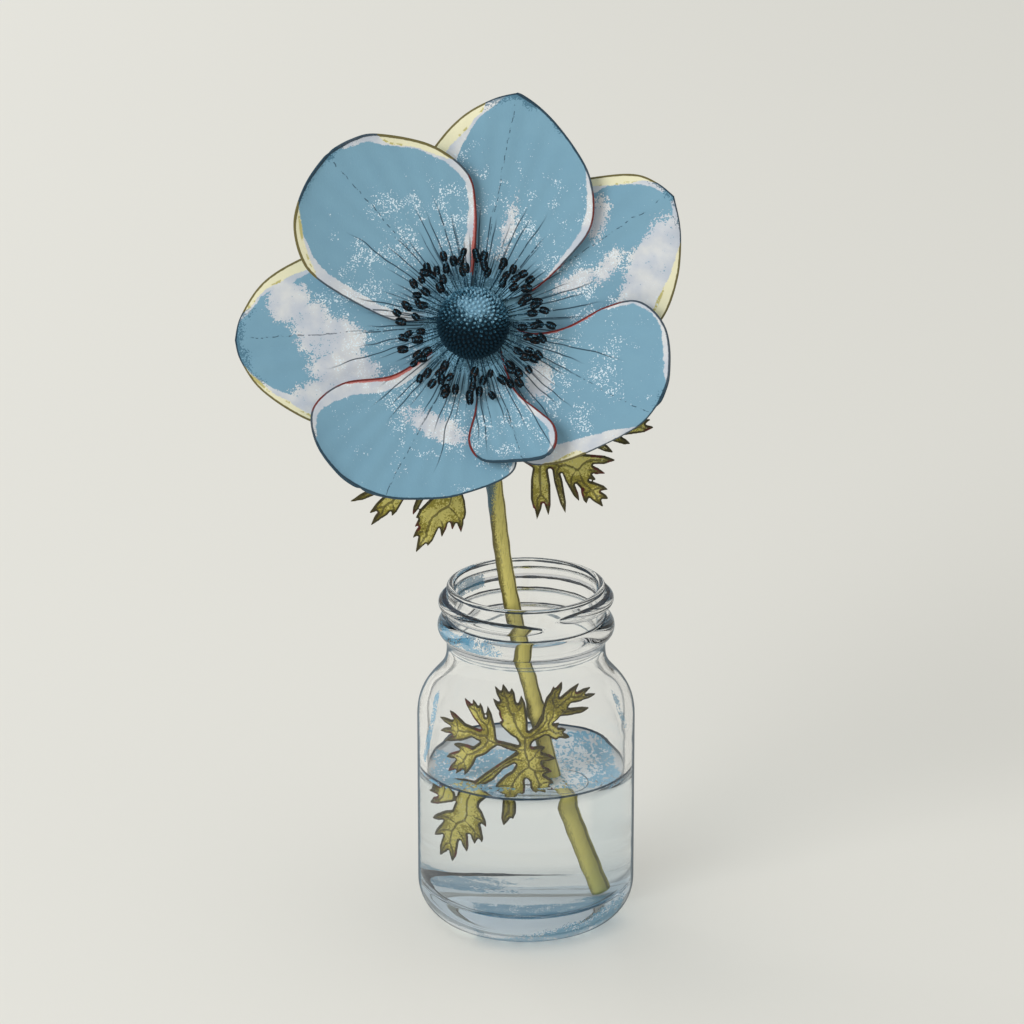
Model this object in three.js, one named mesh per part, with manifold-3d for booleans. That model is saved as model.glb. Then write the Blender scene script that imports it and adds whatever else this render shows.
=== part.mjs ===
// Blue anemone flower standing in a small screw-neck glass jar of water.
// Millimetres, +Z up, origin at the middle of the jar's flat underside. The bloom faces -Y.

import * as THREE from 'three';
import { mergeVertices } from 'three/addons/utils/BufferGeometryUtils.js';
import Module from 'manifold-3d';

const wasm = await Module();
wasm.setup();

// Driving dimensions

const gap = 0.3;

const jarHeight = 73.4;
const jarRadius = 22.6;
const jarWall = 1.9;
const jarSides = 32;
const footRadius = 14.6;
const heelHeight = 8.4;
const floorHeight = 6;
const shoulderStart = 46.8;
const shoulderEnd = 59.5;
const shoulderEase = 6.8;
const neckRadius = 16.4;
const mouthRadius = 14.8;
const lipRound = 0.5;
const beadRadius = 18.3;
const beadHeight = 4.2;
const beadMiddle = 64.5;
const threadRadius = 18;
const threadHeight = 2.4;
const threadFrom = { turn: -66, height: 70.8 };
const threadTo = { turn: 282, height: 69.1 };
const threadFade = 26;
const threadSteps = 34;
const threadSunk = 0.5;
const threadCrest = 0.4;
const threadEndShare = 0.25;

const waterLevel = 33.5;
const slotFrom = -18.6;
const slotTo = 7.4;
const slotStep = 2.6;
const slotFloor = 13;
const slotHalf = 1.55;
const underStemEnd = [1.2, 1, -5];

const stemRadius = 1.7;
const stemRoute = [
  [12.2, -1.9, 6.9],
  [5.5, -6.7, 33.5],
  [2.3, -9.1, 47.9],
  [-0.4, -10.9, 60.8],
  [-2.9, -12.3, 73.4],
  [-4.6, -14, 83.7],
  [-6.4, -16.3, 100],
  [-8.4, -18.3, 115],
  [-9.9, -18.2, 127],
  [-10.4, -17.9, 133.4],
  [-10.5, -20.5, 136.1],
];

const stemJoin = [-10.5, -23.5, 137.1];

const bloomCentre = [-10.5, -25, 137.5];
const bloomTilt = 72.5;
const receptacleRadius = 4.5;
const receptacleTop = 4.4;
const receptacleBack = -0.8;
const receptacleCone = 3.6;
const receptacleRound = 0.6;

const petalRoot = 4.9;
const petalRootWidth = 4;
const petalThickness = 0.7;
const levelStep = 1.15;
const bowlReach = 45;
const edgeCurl = 1.3;
const curlReach = 20;
const petalRows = 12;
const petalColumns = 6;

const domeRadius = 7.06;
const domeMiddle = 8.5;
const domeRise = 5;
const domeUndercut = 2.4;
const domeFoot = 2.9;
const domeBottom = 4.7;
const domeBump = 0.22;
const domeBumpsRound = 8;
const domeBumpsFrom = 7;
const domeSides = 24;
const domeRings = 11;

const collarInner = 3.2;
const collarOuter = 5.2;
const collarTop = 6;
const stamenCount = 56;
const stamenSeed = 17;
const antherInner = 9.7;
const antherOuter = 13.8;
const antherRadius = 0.95;
const antherHalf = 1.2;
const antherJitter = 0.1;
const antherLift = { low: 7.4, spread: 1.3 };
const filamentRadius = 0.34;
const filamentRoot = { radius: 4.3, height: 5.3 };

const leafThickness = 0.8;
const leafFront = -12.5;
const leafHug = 0.0225;
const leafWave = 0.35;
const petioleRadius = 0.75;
const petioleRoute = [[3.75, -11.45, 48.6], [2, -12, 45.4], [-0.2, -12.4, 42]];
const branchRadius = 0.55;
const branchRoute = [[-0.2, -12.4, 42], [-5.4, -11.9, 38], [-10.8, -9.9, 32.6]];
const bractThickness = 0.8;
const bractWave = 0.3;
const bractLean = { left: 0.25, right: 0.12, down: 0.1 };
const backBractSag = 0.008;
const whorl = [-8.4, -20.7, 113.6];
const backWhorl = [-8.4, -17.3, 114];

// Colours

const glassClear = { color: 0xdfe8ea, roughness: 0.05, metalness: 0 };
const waterBlue = { color: 0xc4ced0, roughness: 0.05, metalness: 0 };
const stemGreen = { color: 0xa79c50, roughness: 0.6, metalness: 0 };
const leafGreen = { color: 0x847a2e, roughness: 0.65, metalness: 0 };
const petalBlue = { color: 0x79a2b7, roughness: 0.55, metalness: 0 };
const domeBlue = { color: 0x1f4051, roughness: 0.6, metalness: 0 };
const antherNavy = { color: 0x091921, roughness: 0.6, metalness: 0 };

// Solids

function closedGeometry(geometry) {
  const bare = geometry.clone();
  bare.deleteAttribute('normal');
  bare.deleteAttribute('uv');
  const merged = mergeVertices(bare, 1e-4);
  const index = merged.index.array;
  const kept = [];
  for (let i = 0; i < index.length; i += 3) {
    const [a, b, c] = [index[i], index[i + 1], index[i + 2]];
    if (a !== b && b !== c && c !== a) {
      kept.push(a, b, c);
    }
  }
  if (signedVolume(merged.attributes.position, kept) < 0) {
    kept.reverse();
  }
  merged.setIndex(kept);
  return merged;
}

function signedVolume(position, index) {
  const [a, b, c] = [new THREE.Vector3(), new THREE.Vector3(), new THREE.Vector3()];
  let total = 0;
  for (let i = 0; i < index.length; i += 3) {
    a.fromBufferAttribute(position, index[i]);
    b.fromBufferAttribute(position, index[i + 1]);
    c.fromBufferAttribute(position, index[i + 2]);
    total += a.dot(b.cross(c));
  }
  return total;
}

function solid(geometry) {
  const closed = closedGeometry(geometry);
  const vertProperties = new Float32Array(closed.attributes.position.array);
  const triVerts = new Uint32Array(closed.index.array);
  return new wasm.Manifold(new wasm.Mesh({ numProp: 3, vertProperties, triVerts }));
}

function geometryOf(body) {
  const mesh = body.getMesh();
  const geometry = new THREE.BufferGeometry();
  geometry.setAttribute('position', new THREE.Float32BufferAttribute(mesh.vertProperties, mesh.numProp));
  geometry.setIndex(Array.from(mesh.triVerts));
  return geometry;
}

function join(bodies) {
  return bodies.reduce((whole, next) => whole.add(next));
}

function indexedGeometry(positions, index) {
  const geometry = new THREE.BufferGeometry();
  geometry.setAttribute('position', new THREE.Float32BufferAttribute(positions, 3));
  geometry.setIndex(index);
  return geometry;
}

function turned(profile, sides) {
  const points = profile.map(([radius, height]) => new THREE.Vector2(radius, height));
  return new THREE.LatheGeometry(points, sides).rotateX(Math.PI / 2);
}

function tube(route, radius, sides, steps) {
  const section = new THREE.Shape();
  for (let i = 0; i < sides; i += 1) {
    const angle = (i / sides) * 2 * Math.PI;
    const [x, y] = [radius * Math.cos(angle), radius * Math.sin(angle)];
    if (i === 0) {
      section.moveTo(x, y);
    } else {
      section.lineTo(x, y);
    }
  }
  section.closePath();
  const extrudePath = new THREE.CatmullRomCurve3(route.map((point) => new THREE.Vector3(...point)));
  return new THREE.ExtrudeGeometry(section, { steps, extrudePath, curveSegments: 1, bevelEnabled: false });
}

function arc(middle, radii, fromDegrees, toDegrees, steps) {
  const points = [];
  for (let i = 0; i <= steps; i += 1) {
    const angle = THREE.MathUtils.degToRad(fromDegrees + ((toDegrees - fromDegrees) * i) / steps);
    points.push([middle[0] + radii[0] * Math.cos(angle), middle[1] + radii[1] * Math.sin(angle)]);
  }
  return points;
}

function random(seed) {
  let state = seed;
  return () => {
    state = (state * 16807) % 2147483647;
    return state / 2147483647;
  };
}

// Jar: foot, body, shoulder, neck, bead and lip in one profile, with a thread wound round the neck

function shoulder(bodySide, neckSide, steps) {
  const curve = new THREE.CubicBezierCurve(
    new THREE.Vector2(bodySide, shoulderStart),
    new THREE.Vector2(bodySide, shoulderStart + shoulderEase),
    new THREE.Vector2(neckSide, shoulderEnd - shoulderEase),
    new THREE.Vector2(neckSide, shoulderEnd),
  );
  return curve.getPoints(steps).map((point) => [point.x, point.y]);
}

function jarOutside() {
  const beadDepth = beadRadius - neckRadius;
  return [
    [0, 0],
    ...arc([footRadius, heelHeight], [jarRadius - footRadius, heelHeight], -90, 0, 4),
    ...shoulder(jarRadius, neckRadius, 6),
    ...arc([neckRadius, beadMiddle], [beadDepth, beadHeight / 2], -90, 90, 5),
    [neckRadius, jarHeight - lipRound],
    [neckRadius - lipRound, jarHeight],
  ];
}

function jarInside() {
  const inner = jarRadius - jarWall;
  const heelRound = inner - footRadius;
  return [
    [mouthRadius + lipRound, jarHeight],
    [mouthRadius, jarHeight - lipRound],
    ...shoulder(inner, mouthRadius, 5).reverse(),
    ...arc([footRadius, floorHeight + heelRound], [heelRound, heelRound], 0, -90, 3),
    [0, floorHeight],
  ];
}

function threadRidge() {
  const root = neckRadius - threadSunk;
  const positions = [];
  const index = [];
  const corners = 4;
  for (let i = 0; i <= threadSteps; i += 1) {
    const share = i / threadSteps;
    const turn = threadFrom.turn + (threadTo.turn - threadFrom.turn) * share;
    const height = threadFrom.height + (threadTo.height - threadFrom.height) * share;
    const fromEnd = Math.min(turn - threadFrom.turn, threadTo.turn - turn);
    const grown = Math.sin((Math.min(1, fromEnd / threadFade) * Math.PI) / 2);
    const fade = threadEndShare + (1 - threadEndShare) * grown;
    const crest = neckRadius + (threadRadius - neckRadius) * fade;
    const half = (threadHeight / 2) * (threadCrest + (1 - threadCrest) * fade);
    const angle = THREE.MathUtils.degToRad(turn);
    const section = [
      [root, -half],
      [crest, -half * threadCrest],
      [crest, half * threadCrest],
      [root, half],
    ];
    for (const [radius, rise] of section) {
      positions.push(radius * Math.cos(angle), radius * Math.sin(angle), height + rise);
    }
  }
  for (let i = 0; i < threadSteps; i += 1) {
    for (let j = 0; j < corners; j += 1) {
      const [a, b] = [i * corners + j, i * corners + ((j + 1) % corners)];
      index.push(a, b, b + corners, a, b + corners, a + corners);
    }
  }
  const last = threadSteps * corners;
  for (let j = 1; j < corners - 1; j += 1) {
    index.push(0, j + 1, j, last, last + j, last + j + 1);
  }
  return indexedGeometry(positions, index);
}

function jarBody() {
  const blown = solid(turned([...jarOutside(), ...jarInside()], jarSides));
  return blown.add(solid(threadRidge()));
}

// Water: fills the jar, open round the stem and round the leaf that dips into it

function leafSheet(x) {
  return leafFront + leafHug * x * x;
}

function leafSlot() {
  const count = Math.round((slotTo - slotFrom) / slotStep);
  const front = [];
  const back = [];
  for (let i = 0; i <= count; i += 1) {
    const x = slotFrom + i * slotStep;
    front.push(new THREE.Vector2(x, leafSheet(x) - slotHalf));
    back.unshift(new THREE.Vector2(x, leafSheet(x) + slotHalf));
  }
  const outline = new THREE.Shape([...front, ...back]);
  const slot = new THREE.ExtrudeGeometry(outline, { depth: waterLevel, bevelEnabled: false });
  return slot.translate(0, 0, slotFloor);
}

function waterBody() {
  const inner = jarRadius - jarWall - gap;
  const heelRound = inner - footRadius;
  const bottom = floorHeight + gap;
  const fill = turned([
    [0, bottom],
    ...arc([footRadius, bottom + heelRound], [heelRound, heelRound], -90, 0, 3),
    [inner, waterLevel],
    [0, waterLevel],
  ], jarSides);
  const [stemEnd, ...stemAbove] = stemRoute.slice(0, 3);
  const underStem = stemEnd.map((value, axis) => value + underStemEnd[axis]);
  const hole = tube([underStem, stemEnd, ...stemAbove], stemRadius + gap, 12, 16);
  return solid(fill).subtract(solid(hole)).subtract(solid(leafSlot()));
}

// Stem with its receptacle

function receptacle() {
  const profile = [
    [0, receptacleBack - receptacleCone - 0.2],
    [stemRadius, receptacleBack - receptacleCone],
    [2.6, receptacleBack - receptacleCone * 0.4],
    [receptacleRadius, receptacleBack],
    [receptacleRadius, receptacleTop - receptacleRound],
    [receptacleRadius - receptacleRound, receptacleTop],
    [0, receptacleTop],
  ];
  return onBloom(turned(profile, 16));
}

function onBloom(geometry) {
  return geometry.rotateX(THREE.MathUtils.degToRad(bloomTilt)).translate(...bloomCentre);
}

function stemBody() {
  return solid(tube([...stemRoute, stemJoin], stemRadius, 10, 32)).add(solid(receptacle()));
}

// Divided leaves: pointed lobes, each given as its root, its tip and its width, are cut flat side by
// side in the leaf's own plane and then bent on to the leaf's sheet

function lobe([x0, y0, x1, y1, width]) {
  const root = new THREE.Vector2(x0, y0);
  const span = new THREE.Vector2(x1 - x0, y1 - y0);
  const across = new THREE.Vector2(-span.y, span.x).normalize();
  const shares = [[0, 0.3], [0.4, 0.48], [0.8, 0.34]];
  const at = (share, side) => {
    const point = root.clone().addScaledVector(span, share);
    return point.addScaledVector(across, side * width);
  };
  const outline = [
    ...shares.map(([share, half]) => at(share, half)),
    at(1, 0),
    ...shares.map(([share, half]) => at(share, -half)).reverse(),
  ];
  return new THREE.Shape(outline);
}

function bentLeaf(lobes, thickness, place) {
  const prisms = lobes.map((line) => {
    const prism = new THREE.ExtrudeGeometry(lobe(line), { depth: thickness, bevelEnabled: false });
    return solid(prism.translate(0, 0, -thickness / 2));
  });
  const flat = geometryOf(join(prisms));
  const position = flat.attributes.position;
  for (let i = 0; i < position.count; i += 1) {
    const point = place(position.getX(i), position.getY(i), position.getZ(i));
    position.setXYZ(i, ...point);
  }
  return solid(flat);
}

const stemLeaflets = {
  stalks: [
    [0.6, 41.6, -8.2, 43.2, 1.5], [0.8, 42.2, -6.4, 36.6, 1.7], [-4.4, 38.4, -12.2, 31, 2.1],
    [0.6, 43.2, -0.6, 36.4, 1.7], [-0.8, 42.8, 4.6, 48.6, 1.8], [0.8, 43.4, 5.4, 46.4, 1.2],
    [-1, 42.4, 1.8, 38, 2.2],
  ],
  upperRight: [
    [2.8, 46.4, 9.4, 52.6, 3], [3.6, 47.2, 4.9, 53.9, 1.8],
    [4.8, 50, 5.5, 55.5, 1], [4.4, 48.8, 7.2, 56.6, 1.8],
    [4.2, 48.2, 10.6, 55.3, 2.2], [7, 51.2, 13, 53.7, 1.7],
    [8, 51.6, 14.1, 51.8, 1.4], [5.2, 49, 12.9, 49.3, 1.7],
  ],
  right: [
    [3, 45.4, 8.3, 45.3, 1.7], [4.2, 45.6, 6.8, 47, 1.2],
    [5, 45.4, 9, 43.4, 1.3], [4.2, 45.4, 6.5, 43.6, 1.1],
  ],
  upper: [
    [-0.2, 42.8, -4.6, 52.5, 3], [-0.4, 43.4, -1, 53.7, 2.1], [-2.6, 48.6, -2.9, 55.4, 1.6],
    [-2.8, 48.4, -4.7, 56.2, 1.7], [-2.6, 48, -6.3, 55.3, 1.6], [-2, 46.4, -6.7, 52.3, 1.7],
    [-1.6, 45.2, -5.6, 49.4, 1.5], [-1, 44, -5.5, 47.7, 1.5],
  ],
  leftUp: [
    [-6.2, 42.4, -10.6, 50, 2.3], [-6.4, 42.6, -7.8, 50.7, 1.6], [-8.6, 46, -9.3, 51.1, 1.2],
    [-8.8, 46, -10.8, 51.6, 1.3], [-8.4, 45.4, -12.5, 51.4, 1.5],
  ],
  left: [
    [-6, 42.4, -15, 46.2, 2.4], [-11.6, 44.2, -15.5, 48.2, 1.6], [-12.6, 44.8, -17.5, 45.8, 1.7],
    [-12, 44.6, -17.6, 42.9, 1.6], [-10.8, 44, -16.6, 41.2, 1.5],
  ],
  leftDown: [
    [-5.8, 43.2, -13.6, 38.4, 2.6], [-10, 41, -14.8, 40.9, 1.4], [-11, 40.2, -16.3, 37.9, 1.7],
    [-11.2, 40, -15.9, 34.9, 1.6], [-10.8, 40, -14.3, 34.7, 1.3], [-10.2, 40.2, -12.6, 34.7, 1.4],
  ],
  farLeft: [
    [-9.2, 33, -17.4, 32.4, 2.3], [-11.4, 32.4, -17.7, 30, 2], [-11.6, 31.8, -17.6, 27.4, 2],
  ],
  low: [
    [-9.8, 33, -13.8, 22, 3.2], [-11.8, 27.4, -17.2, 24.2, 1.8], [-12.4, 26, -16.8, 20.6, 1.8],
    [-12.6, 25.4, -15.6, 16.4, 2.1], [-12.6, 25, -13.4, 15.8, 1.9], [-11.8, 26, -10.6, 18.6, 1.7],
  ],
  lowRight: [
    [-9.8, 33.2, -9.2, 24, 2.4], [-9.6, 28, -11, 22, 1.5], [-9.4, 27.2, -9.3, 20.8, 1.6],
    [-9.2, 27, -7.9, 21.4, 1.3], [-9.4, 30, -7.2, 25, 1.5],
  ],
  down: [
    [-0.2, 40.4, -3.6, 29.4, 3.2], [-1.6, 37, -6.5, 32.8, 2], [-2.2, 35, -6.1, 30.8, 1.7],
    [-2.4, 34, -5.5, 29, 1.6], [-2.6, 33.8, -4.1, 25.6, 2.1], [-2.2, 34.6, -2.4, 27.2, 1.5],
    [-1.2, 37.6, -0.8, 28.4, 1.8],
  ],
  rightDown: [
    [-1.6, 40.8, 4, 39.8, 2.8], [-0.2, 41, 4, 42, 1.5],
    [0.6, 40.4, 6, 39.6, 1.9], [0.4, 40, 3.6, 37.9, 1.6],
  ],
  lowestRight: [
    [-1.4, 41, 3.4, 32.6, 3], [0, 38.4, 5.3, 36.6, 1.7],
    [0.8, 37, 5.7, 34, 1.7], [1.2, 36, 5.9, 31.7, 1.7],
    [1.4, 35.4, 4, 30.5, 1.6], [1.2, 35.8, 2.1, 30.2, 1.5],
  ],
};

function onLeafSheet(x, z, t) {
  const wave = leafWave * Math.sin(0.7 * x + 0.45 * z);
  return [x, leafSheet(x) + wave + t, z];
}

function stemLeafBody() {
  const blade = bentLeaf(Object.values(stemLeaflets).flat(), leafThickness, onLeafSheet);
  const petiole = tube(petioleRoute, petioleRadius, 8, 6);
  const branch = tube(branchRoute, branchRadius, 6, 6);
  return join([blade, solid(petiole), solid(branch)]);
}

const leftBractLobes = [
  [-9.8, 113, -27, 104, 2.3], [-23, 106, -35.2, 101.3, 1.9], [-21.6, 106, -31.4, 98.6, 2.4],
  [-25, 103, -31.1, 96.1, 1.8], [-25, 102.8, -29, 97.4, 1.5], [-23.6, 104, -27, 97.7, 1.5],
  [-9.8, 113, -20.8, 102.6, 2.1], [-19.6, 104.4, -22.8, 97.5, 1.6],
  [-9.8, 113, -17.2, 99.4, 2.7], [-15.6, 102.4, -22.2, 96.9, 2.1], [-16.2, 101, -22.4, 95.2, 1.8],
  [-17, 98.8, -22.8, 93, 1.8], [-15.4, 102.6, -22.2, 89.8, 2.9], [-17.2, 97.6, -19.8, 91.1, 1.7],
  [-15.4, 101.8, -17, 92.5, 2],
  [-9.7, 112.8, -14.2, 100.4, 2.3], [-13.8, 102.6, -14.9, 93.7, 1.8], [-13.6, 102, -13.1, 93.1, 1.8],
  [-13.4, 101.8, -12.3, 96.1, 1.4],
];

const rightBractLobes = [
  [-7.1, 113, 4.2, 105.6, 2.3], [2, 107.8, 1.3, 98.2, 1.8],
  [3, 107.4, 2.1, 95.9, 2.1], [3.6, 107, 4.4, 96.9, 1.8],
  [-7.1, 113.2, 7.6, 105.8, 2.2], [5.4, 108, 7.8, 97.5, 1.8], [7, 107.2, 10.6, 100, 1.6],
  [-7.1, 113.4, 10.4, 106, 2.7], [8, 108, 15.4, 98.9, 2.6], [12.6, 102.6, 16.4, 100.6, 1.4],
  [11.4, 104, 16.2, 102.6, 1.5], [11.2, 103.6, 12, 99.6, 1.4], [7.4, 108, 15.7, 106, 1.9],
  [6.6, 108.4, 17.8, 108.8, 2.3], [8.2, 107.8, 14, 104.5, 1.5],
  [-7.1, 113.6, 19.6, 114.2, 2.6], [14, 114.2, 25.4, 115.8, 2.4], [18, 114.6, 24.6, 117.3, 1.6],
  [15, 114, 20.7, 112.2, 1.6], [10, 113.8, 17.4, 110.2, 1.8],
];

function onLeftBract(x, z, t) {
  const forward = bractLean.left * Math.min(0, x - whorl[0]) - bractLean.down * (whorl[2] - z);
  return [x, whorl[1] + forward + bractWave * Math.sin(0.5 * (x + z)) + t, z];
}

function onRightBract(x, z, t) {
  const forward = -bractLean.right * Math.max(0, x - whorl[0]) - bractLean.down * (whorl[2] - z);
  return [x, whorl[1] + forward + bractWave * Math.sin(0.5 * (x - z)) + t, z];
}

function onBackBract(x, z, t) {
  const root = new THREE.Vector3(...backWhorl);
  const sideways = new THREE.Vector3(0.69, 0.7, -0.18);
  const backwards = new THREE.Vector3(-0.69, 0.7, -0.18);
  const up = new THREE.Vector3(0, 0.25, 0.97);
  const [a, b] = [whorl[0] - x, whorl[2] - z];
  const lift = bractWave * Math.sin(0.5 * (a + b)) - backBractSag * (a * a + b * b) + t;
  root.addScaledVector(sideways, a).addScaledVector(backwards, b).addScaledVector(up, lift);
  return root.toArray();
}

// Petals: blades between two side curves, on a bowl that steepens level by level. A petal's points are
// its reach from the bloom's axis and its half width, and its two curls lift or lower its side edges.

const petals = [
  {
    name: 'petal_upper_left', turn: 131, level: 2, bowl: 9, curl: [1, 1], tip: [43.3, -0.5],
    left: [[9.5, 10.6], [16.3, 14.2], [25.6, 17.2], [31.2, 17.2], [37.6, 13.6], [41.6, 7]],
    right: [[9.9, -9.1], [16.5, -15.2], [22.8, -18.5], [31.6, -16.6], [39.8, -10.2], [42.3, -5.6]],
  },
  {
    name: 'petal_top', turn: 79, level: 1, bowl: 7.5, curl: [-1, 1], tip: [45.7, 0.1],
    left: [[8.6, 9.4], [14.5, 14.4], [23.5, 17.6], [32.7, 14], [39.3, 9.9], [43.7, 4.6]],
    right: [[8.3, -10.2], [16.2, -16], [23.5, -19.2], [31.7, -17.3], [37.8, -12.4], [43, -5.9]],
  },
  {
    name: 'petal_upper_right', turn: 33, level: 0, bowl: 6, curl: [-1, -1], tip: [46.5, -0.6],
    left: [[8.6, 8.8], [15, 14], [24, 16], [35, 11.4], [42.3, 7.4], [45.2, 3.5]],
    right: [[9, -9.4], [15, -15.4], [23, -20], [31, -19.9], [38.4, -14.6], [43.8, -7.4]],
  },
  {
    name: 'petal_lower_right', turn: -27, level: 1, bowl: 7.5, curl: [1, -1], tip: [39.5, 2.2],
    left: [[10.5, 3.2], [16.5, 7.5], [21.6, 14.6], [27.1, 18.6], [34, 16.2], [38.7, 8.5]],
    right: [[8.4, -8.6], [14, -15], [20.8, -19.8], [27.2, -17.2], [33.2, -10.5], [38.2, -3.2]],
  },
  {
    name: 'petal_bottom', turn: -70, level: 3, bowl: 11, curl: [1, 1], tip: [29.6, 4.1],
    left: [[10.4, 3], [15.6, 3.4], [20.4, 6.2], [23.6, 7.9], [27, 7.2]],
    right: [[12.4, -4], [16.3, -5.5], [21.5, -8.8], [25.9, -7.3], [28.2, -1]],
  },
  {
    name: 'petal_lower_left', turn: -117, level: 2, bowl: 9, curl: [0, 1], tip: [38.7, -5],
    left: [[8.6, 8.8], [15, 15.4], [22.1, 20.3], [30.9, 13.3], [35.5, 6.2], [38, 0.4]],
    right: [[9, -5], [16.4, -9.6], [22.1, -17.5], [29, -20.4], [34.6, -16.8], [38, -10.2]],
  },
  {
    name: 'petal_left', turn: 184, level: 0, bowl: 6, curl: [-1, -1], tip: [46.8, 0.1],
    left: [[8.6, 8.6], [15.4, 14], [25, 18.6], [32.9, 17.3], [42.1, 10.7], [46, 4.4]],
    right: [[8.6, -8.6], [15.4, -13.6], [25, -17], [32.6, -15.2], [40.6, -10.9], [45.4, -4.6]],
  },
];

function sideCurve(petal, side) {
  const points = side > 0 ? petal.left : petal.right;
  const all = [[petalRoot, (side * petalRootWidth) / 2], ...points, petal.tip];
  return new THREE.SplineCurve(all.map((point) => new THREE.Vector2(...point)));
}

function petalHeight(petal, along, across, side) {
  const radius = Math.hypot(along, across);
  const bowl = petal.bowl * (radius / bowlReach) ** 2;
  const curl = (side > 0 ? petal.curl[0] : petal.curl[1]) * edgeCurl;
  const grown = Math.min(1, Math.max(0, along - petalRoot) / curlReach);
  return petal.level * levelStep + bowl + curl * Math.abs(side) ** 3 * grown;
}

function petalGeometry(petal) {
  const left = sideCurve(petal, 1);
  const right = sideCurve(petal, -1);
  const positions = [];
  const index = [];
  const width = petalColumns + 1;
  const addPoint = (point, side) => {
    const height = petalHeight(petal, point.x, point.y, side);
    positions.push(point.x, point.y, height + petalThickness, point.x, point.y, height);
  };
  for (let i = 0; i < petalRows; i += 1) {
    const share = i / petalRows;
    const from = right.getPointAt(share);
    const to = left.getPointAt(share);
    for (let j = 0; j < width; j += 1) {
      const side = (2 * j) / petalColumns - 1;
      addPoint(from.clone().lerp(to, (side + 1) / 2), side);
    }
  }
  addPoint(new THREE.Vector2(...petal.tip), 0);
  const front = (i, j) => 2 * (i * width + j);
  const back = (i, j) => front(i, j) + 1;
  const quad = (a, b, c, d) => index.push(a, b, c, a, c, d);
  const end = petalColumns;
  const lastRow = petalRows - 1;
  const tipFront = 2 * petalRows * width;
  const tipBack = tipFront + 1;
  for (let i = 0; i < lastRow; i += 1) {
    for (let j = 0; j < petalColumns; j += 1) {
      quad(front(i, j), front(i + 1, j), front(i + 1, j + 1), front(i, j + 1));
      quad(back(i, j), back(i, j + 1), back(i + 1, j + 1), back(i + 1, j));
    }
    quad(front(i, 0), back(i, 0), back(i + 1, 0), front(i + 1, 0));
    quad(front(i, end), front(i + 1, end), back(i + 1, end), back(i, end));
  }
  for (let j = 0; j < petalColumns; j += 1) {
    quad(front(0, j), front(0, j + 1), back(0, j + 1), back(0, j));
    index.push(front(lastRow, j), tipFront, front(lastRow, j + 1));
    index.push(back(lastRow, j), back(lastRow, j + 1), tipBack);
  }
  quad(front(lastRow, 0), back(lastRow, 0), tipBack, tipFront);
  quad(front(lastRow, end), tipFront, tipBack, back(lastRow, end));
  return indexedGeometry(positions, index).rotateZ(THREE.MathUtils.degToRad(petal.turn));
}

// Dome of carpels, with a net of low bumps

function domeGeometry() {
  const profile = [[0, domeBottom], [domeFoot, domeBottom], [domeFoot, domeMiddle - domeUndercut * 0.9]];
  for (let i = 1; i <= domeRings; i += 1) {
    const angle = THREE.MathUtils.degToRad(-60 + (150 * i) / domeRings);
    const rise = angle < 0 ? domeUndercut : domeRise;
    const radius = i === domeRings ? 0 : domeRadius * Math.cos(angle);
    profile.push([radius, domeMiddle + rise * Math.sin(angle)]);
  }
  const geometry = turned(profile, domeSides);
  const position = geometry.attributes.position;
  for (let i = 0; i < position.count; i += 1) {
    const [x, y, z] = [position.getX(i), position.getY(i), position.getZ(i)];
    const radius = Math.hypot(x, y);
    if (z > domeBumpsFrom && radius > 0.5) {
      const bump = domeBump * Math.cos(domeBumpsRound * Math.atan2(y, x) + 2.4 * z);
      position.setXYZ(i, x * (1 + bump / radius), y * (1 + bump / radius), z);
    }
  }
  return geometry;
}

// Stamens: filaments that spring from a collar and bow out under the dome, each with its anther

function stamen(root, head) {
  const span = new THREE.Vector3().subVectors(head, root);
  const length = span.length();
  const outline = [
    [0, 0],
    [filamentRadius, 0],
    [filamentRadius, length - antherHalf],
    [antherRadius, length],
    [0, length + antherHalf],
  ];
  const upright = new THREE.LatheGeometry(outline.map((point) => new THREE.Vector2(...point)), 3);
  const turn = new THREE.Quaternion().setFromUnitVectors(new THREE.Vector3(0, 1, 0), span.normalize());
  return upright.applyQuaternion(turn).translate(...root.toArray());
}

function stamensBody() {
  const collar = turned([
    [collarInner, domeBottom],
    [collarOuter - 0.2, domeBottom],
    [collarOuter, domeBottom + 0.4],
    [collarOuter - 0.4, collarTop],
    [collarInner, collarTop],
    [collarInner, domeBottom],
  ], 24);
  const draw = random(stamenSeed);
  const goldenTurn = Math.PI * (3 - Math.sqrt(5));
  const pieces = [solid(collar)];
  for (let i = 0; i < stamenCount; i += 1) {
    const turn = i * goldenTurn + antherJitter * draw();
    const reach = antherInner + (antherOuter - antherInner) * Math.sqrt((i + 0.5) / stamenCount);
    const lift = antherLift.low + antherLift.spread * draw();
    const root = new THREE.Vector3(filamentRoot.radius, 0, filamentRoot.height);
    const head = new THREE.Vector3(reach, 0, lift);
    pieces.push(solid(stamen(root, head).rotateZ(turn)));
  }
  return join(pieces);
}

// Assembly

function addNode(group, name, geometry, finish) {
  const mesh = new THREE.Mesh(geometry, new THREE.MeshStandardMaterial(finish));
  mesh.name = name;
  group.add(mesh);
}

const anemone = new THREE.Group();

addNode(anemone, 'jar', geometryOf(jarBody()), glassClear);
addNode(anemone, 'water', geometryOf(waterBody()), waterBlue);
addNode(anemone, 'stem', geometryOf(stemBody()), stemGreen);
addNode(anemone, 'stem_leaf', geometryOf(stemLeafBody()), leafGreen);

const bracts = [
  ['bract_left', leftBractLobes, onLeftBract],
  ['bract_right', rightBractLobes, onRightBract],
  ['bract_back', leftBractLobes, onBackBract],
];
for (const [name, lobes, place] of bracts) {
  addNode(anemone, name, geometryOf(bentLeaf(lobes, bractThickness, place)), leafGreen);
}

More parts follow.
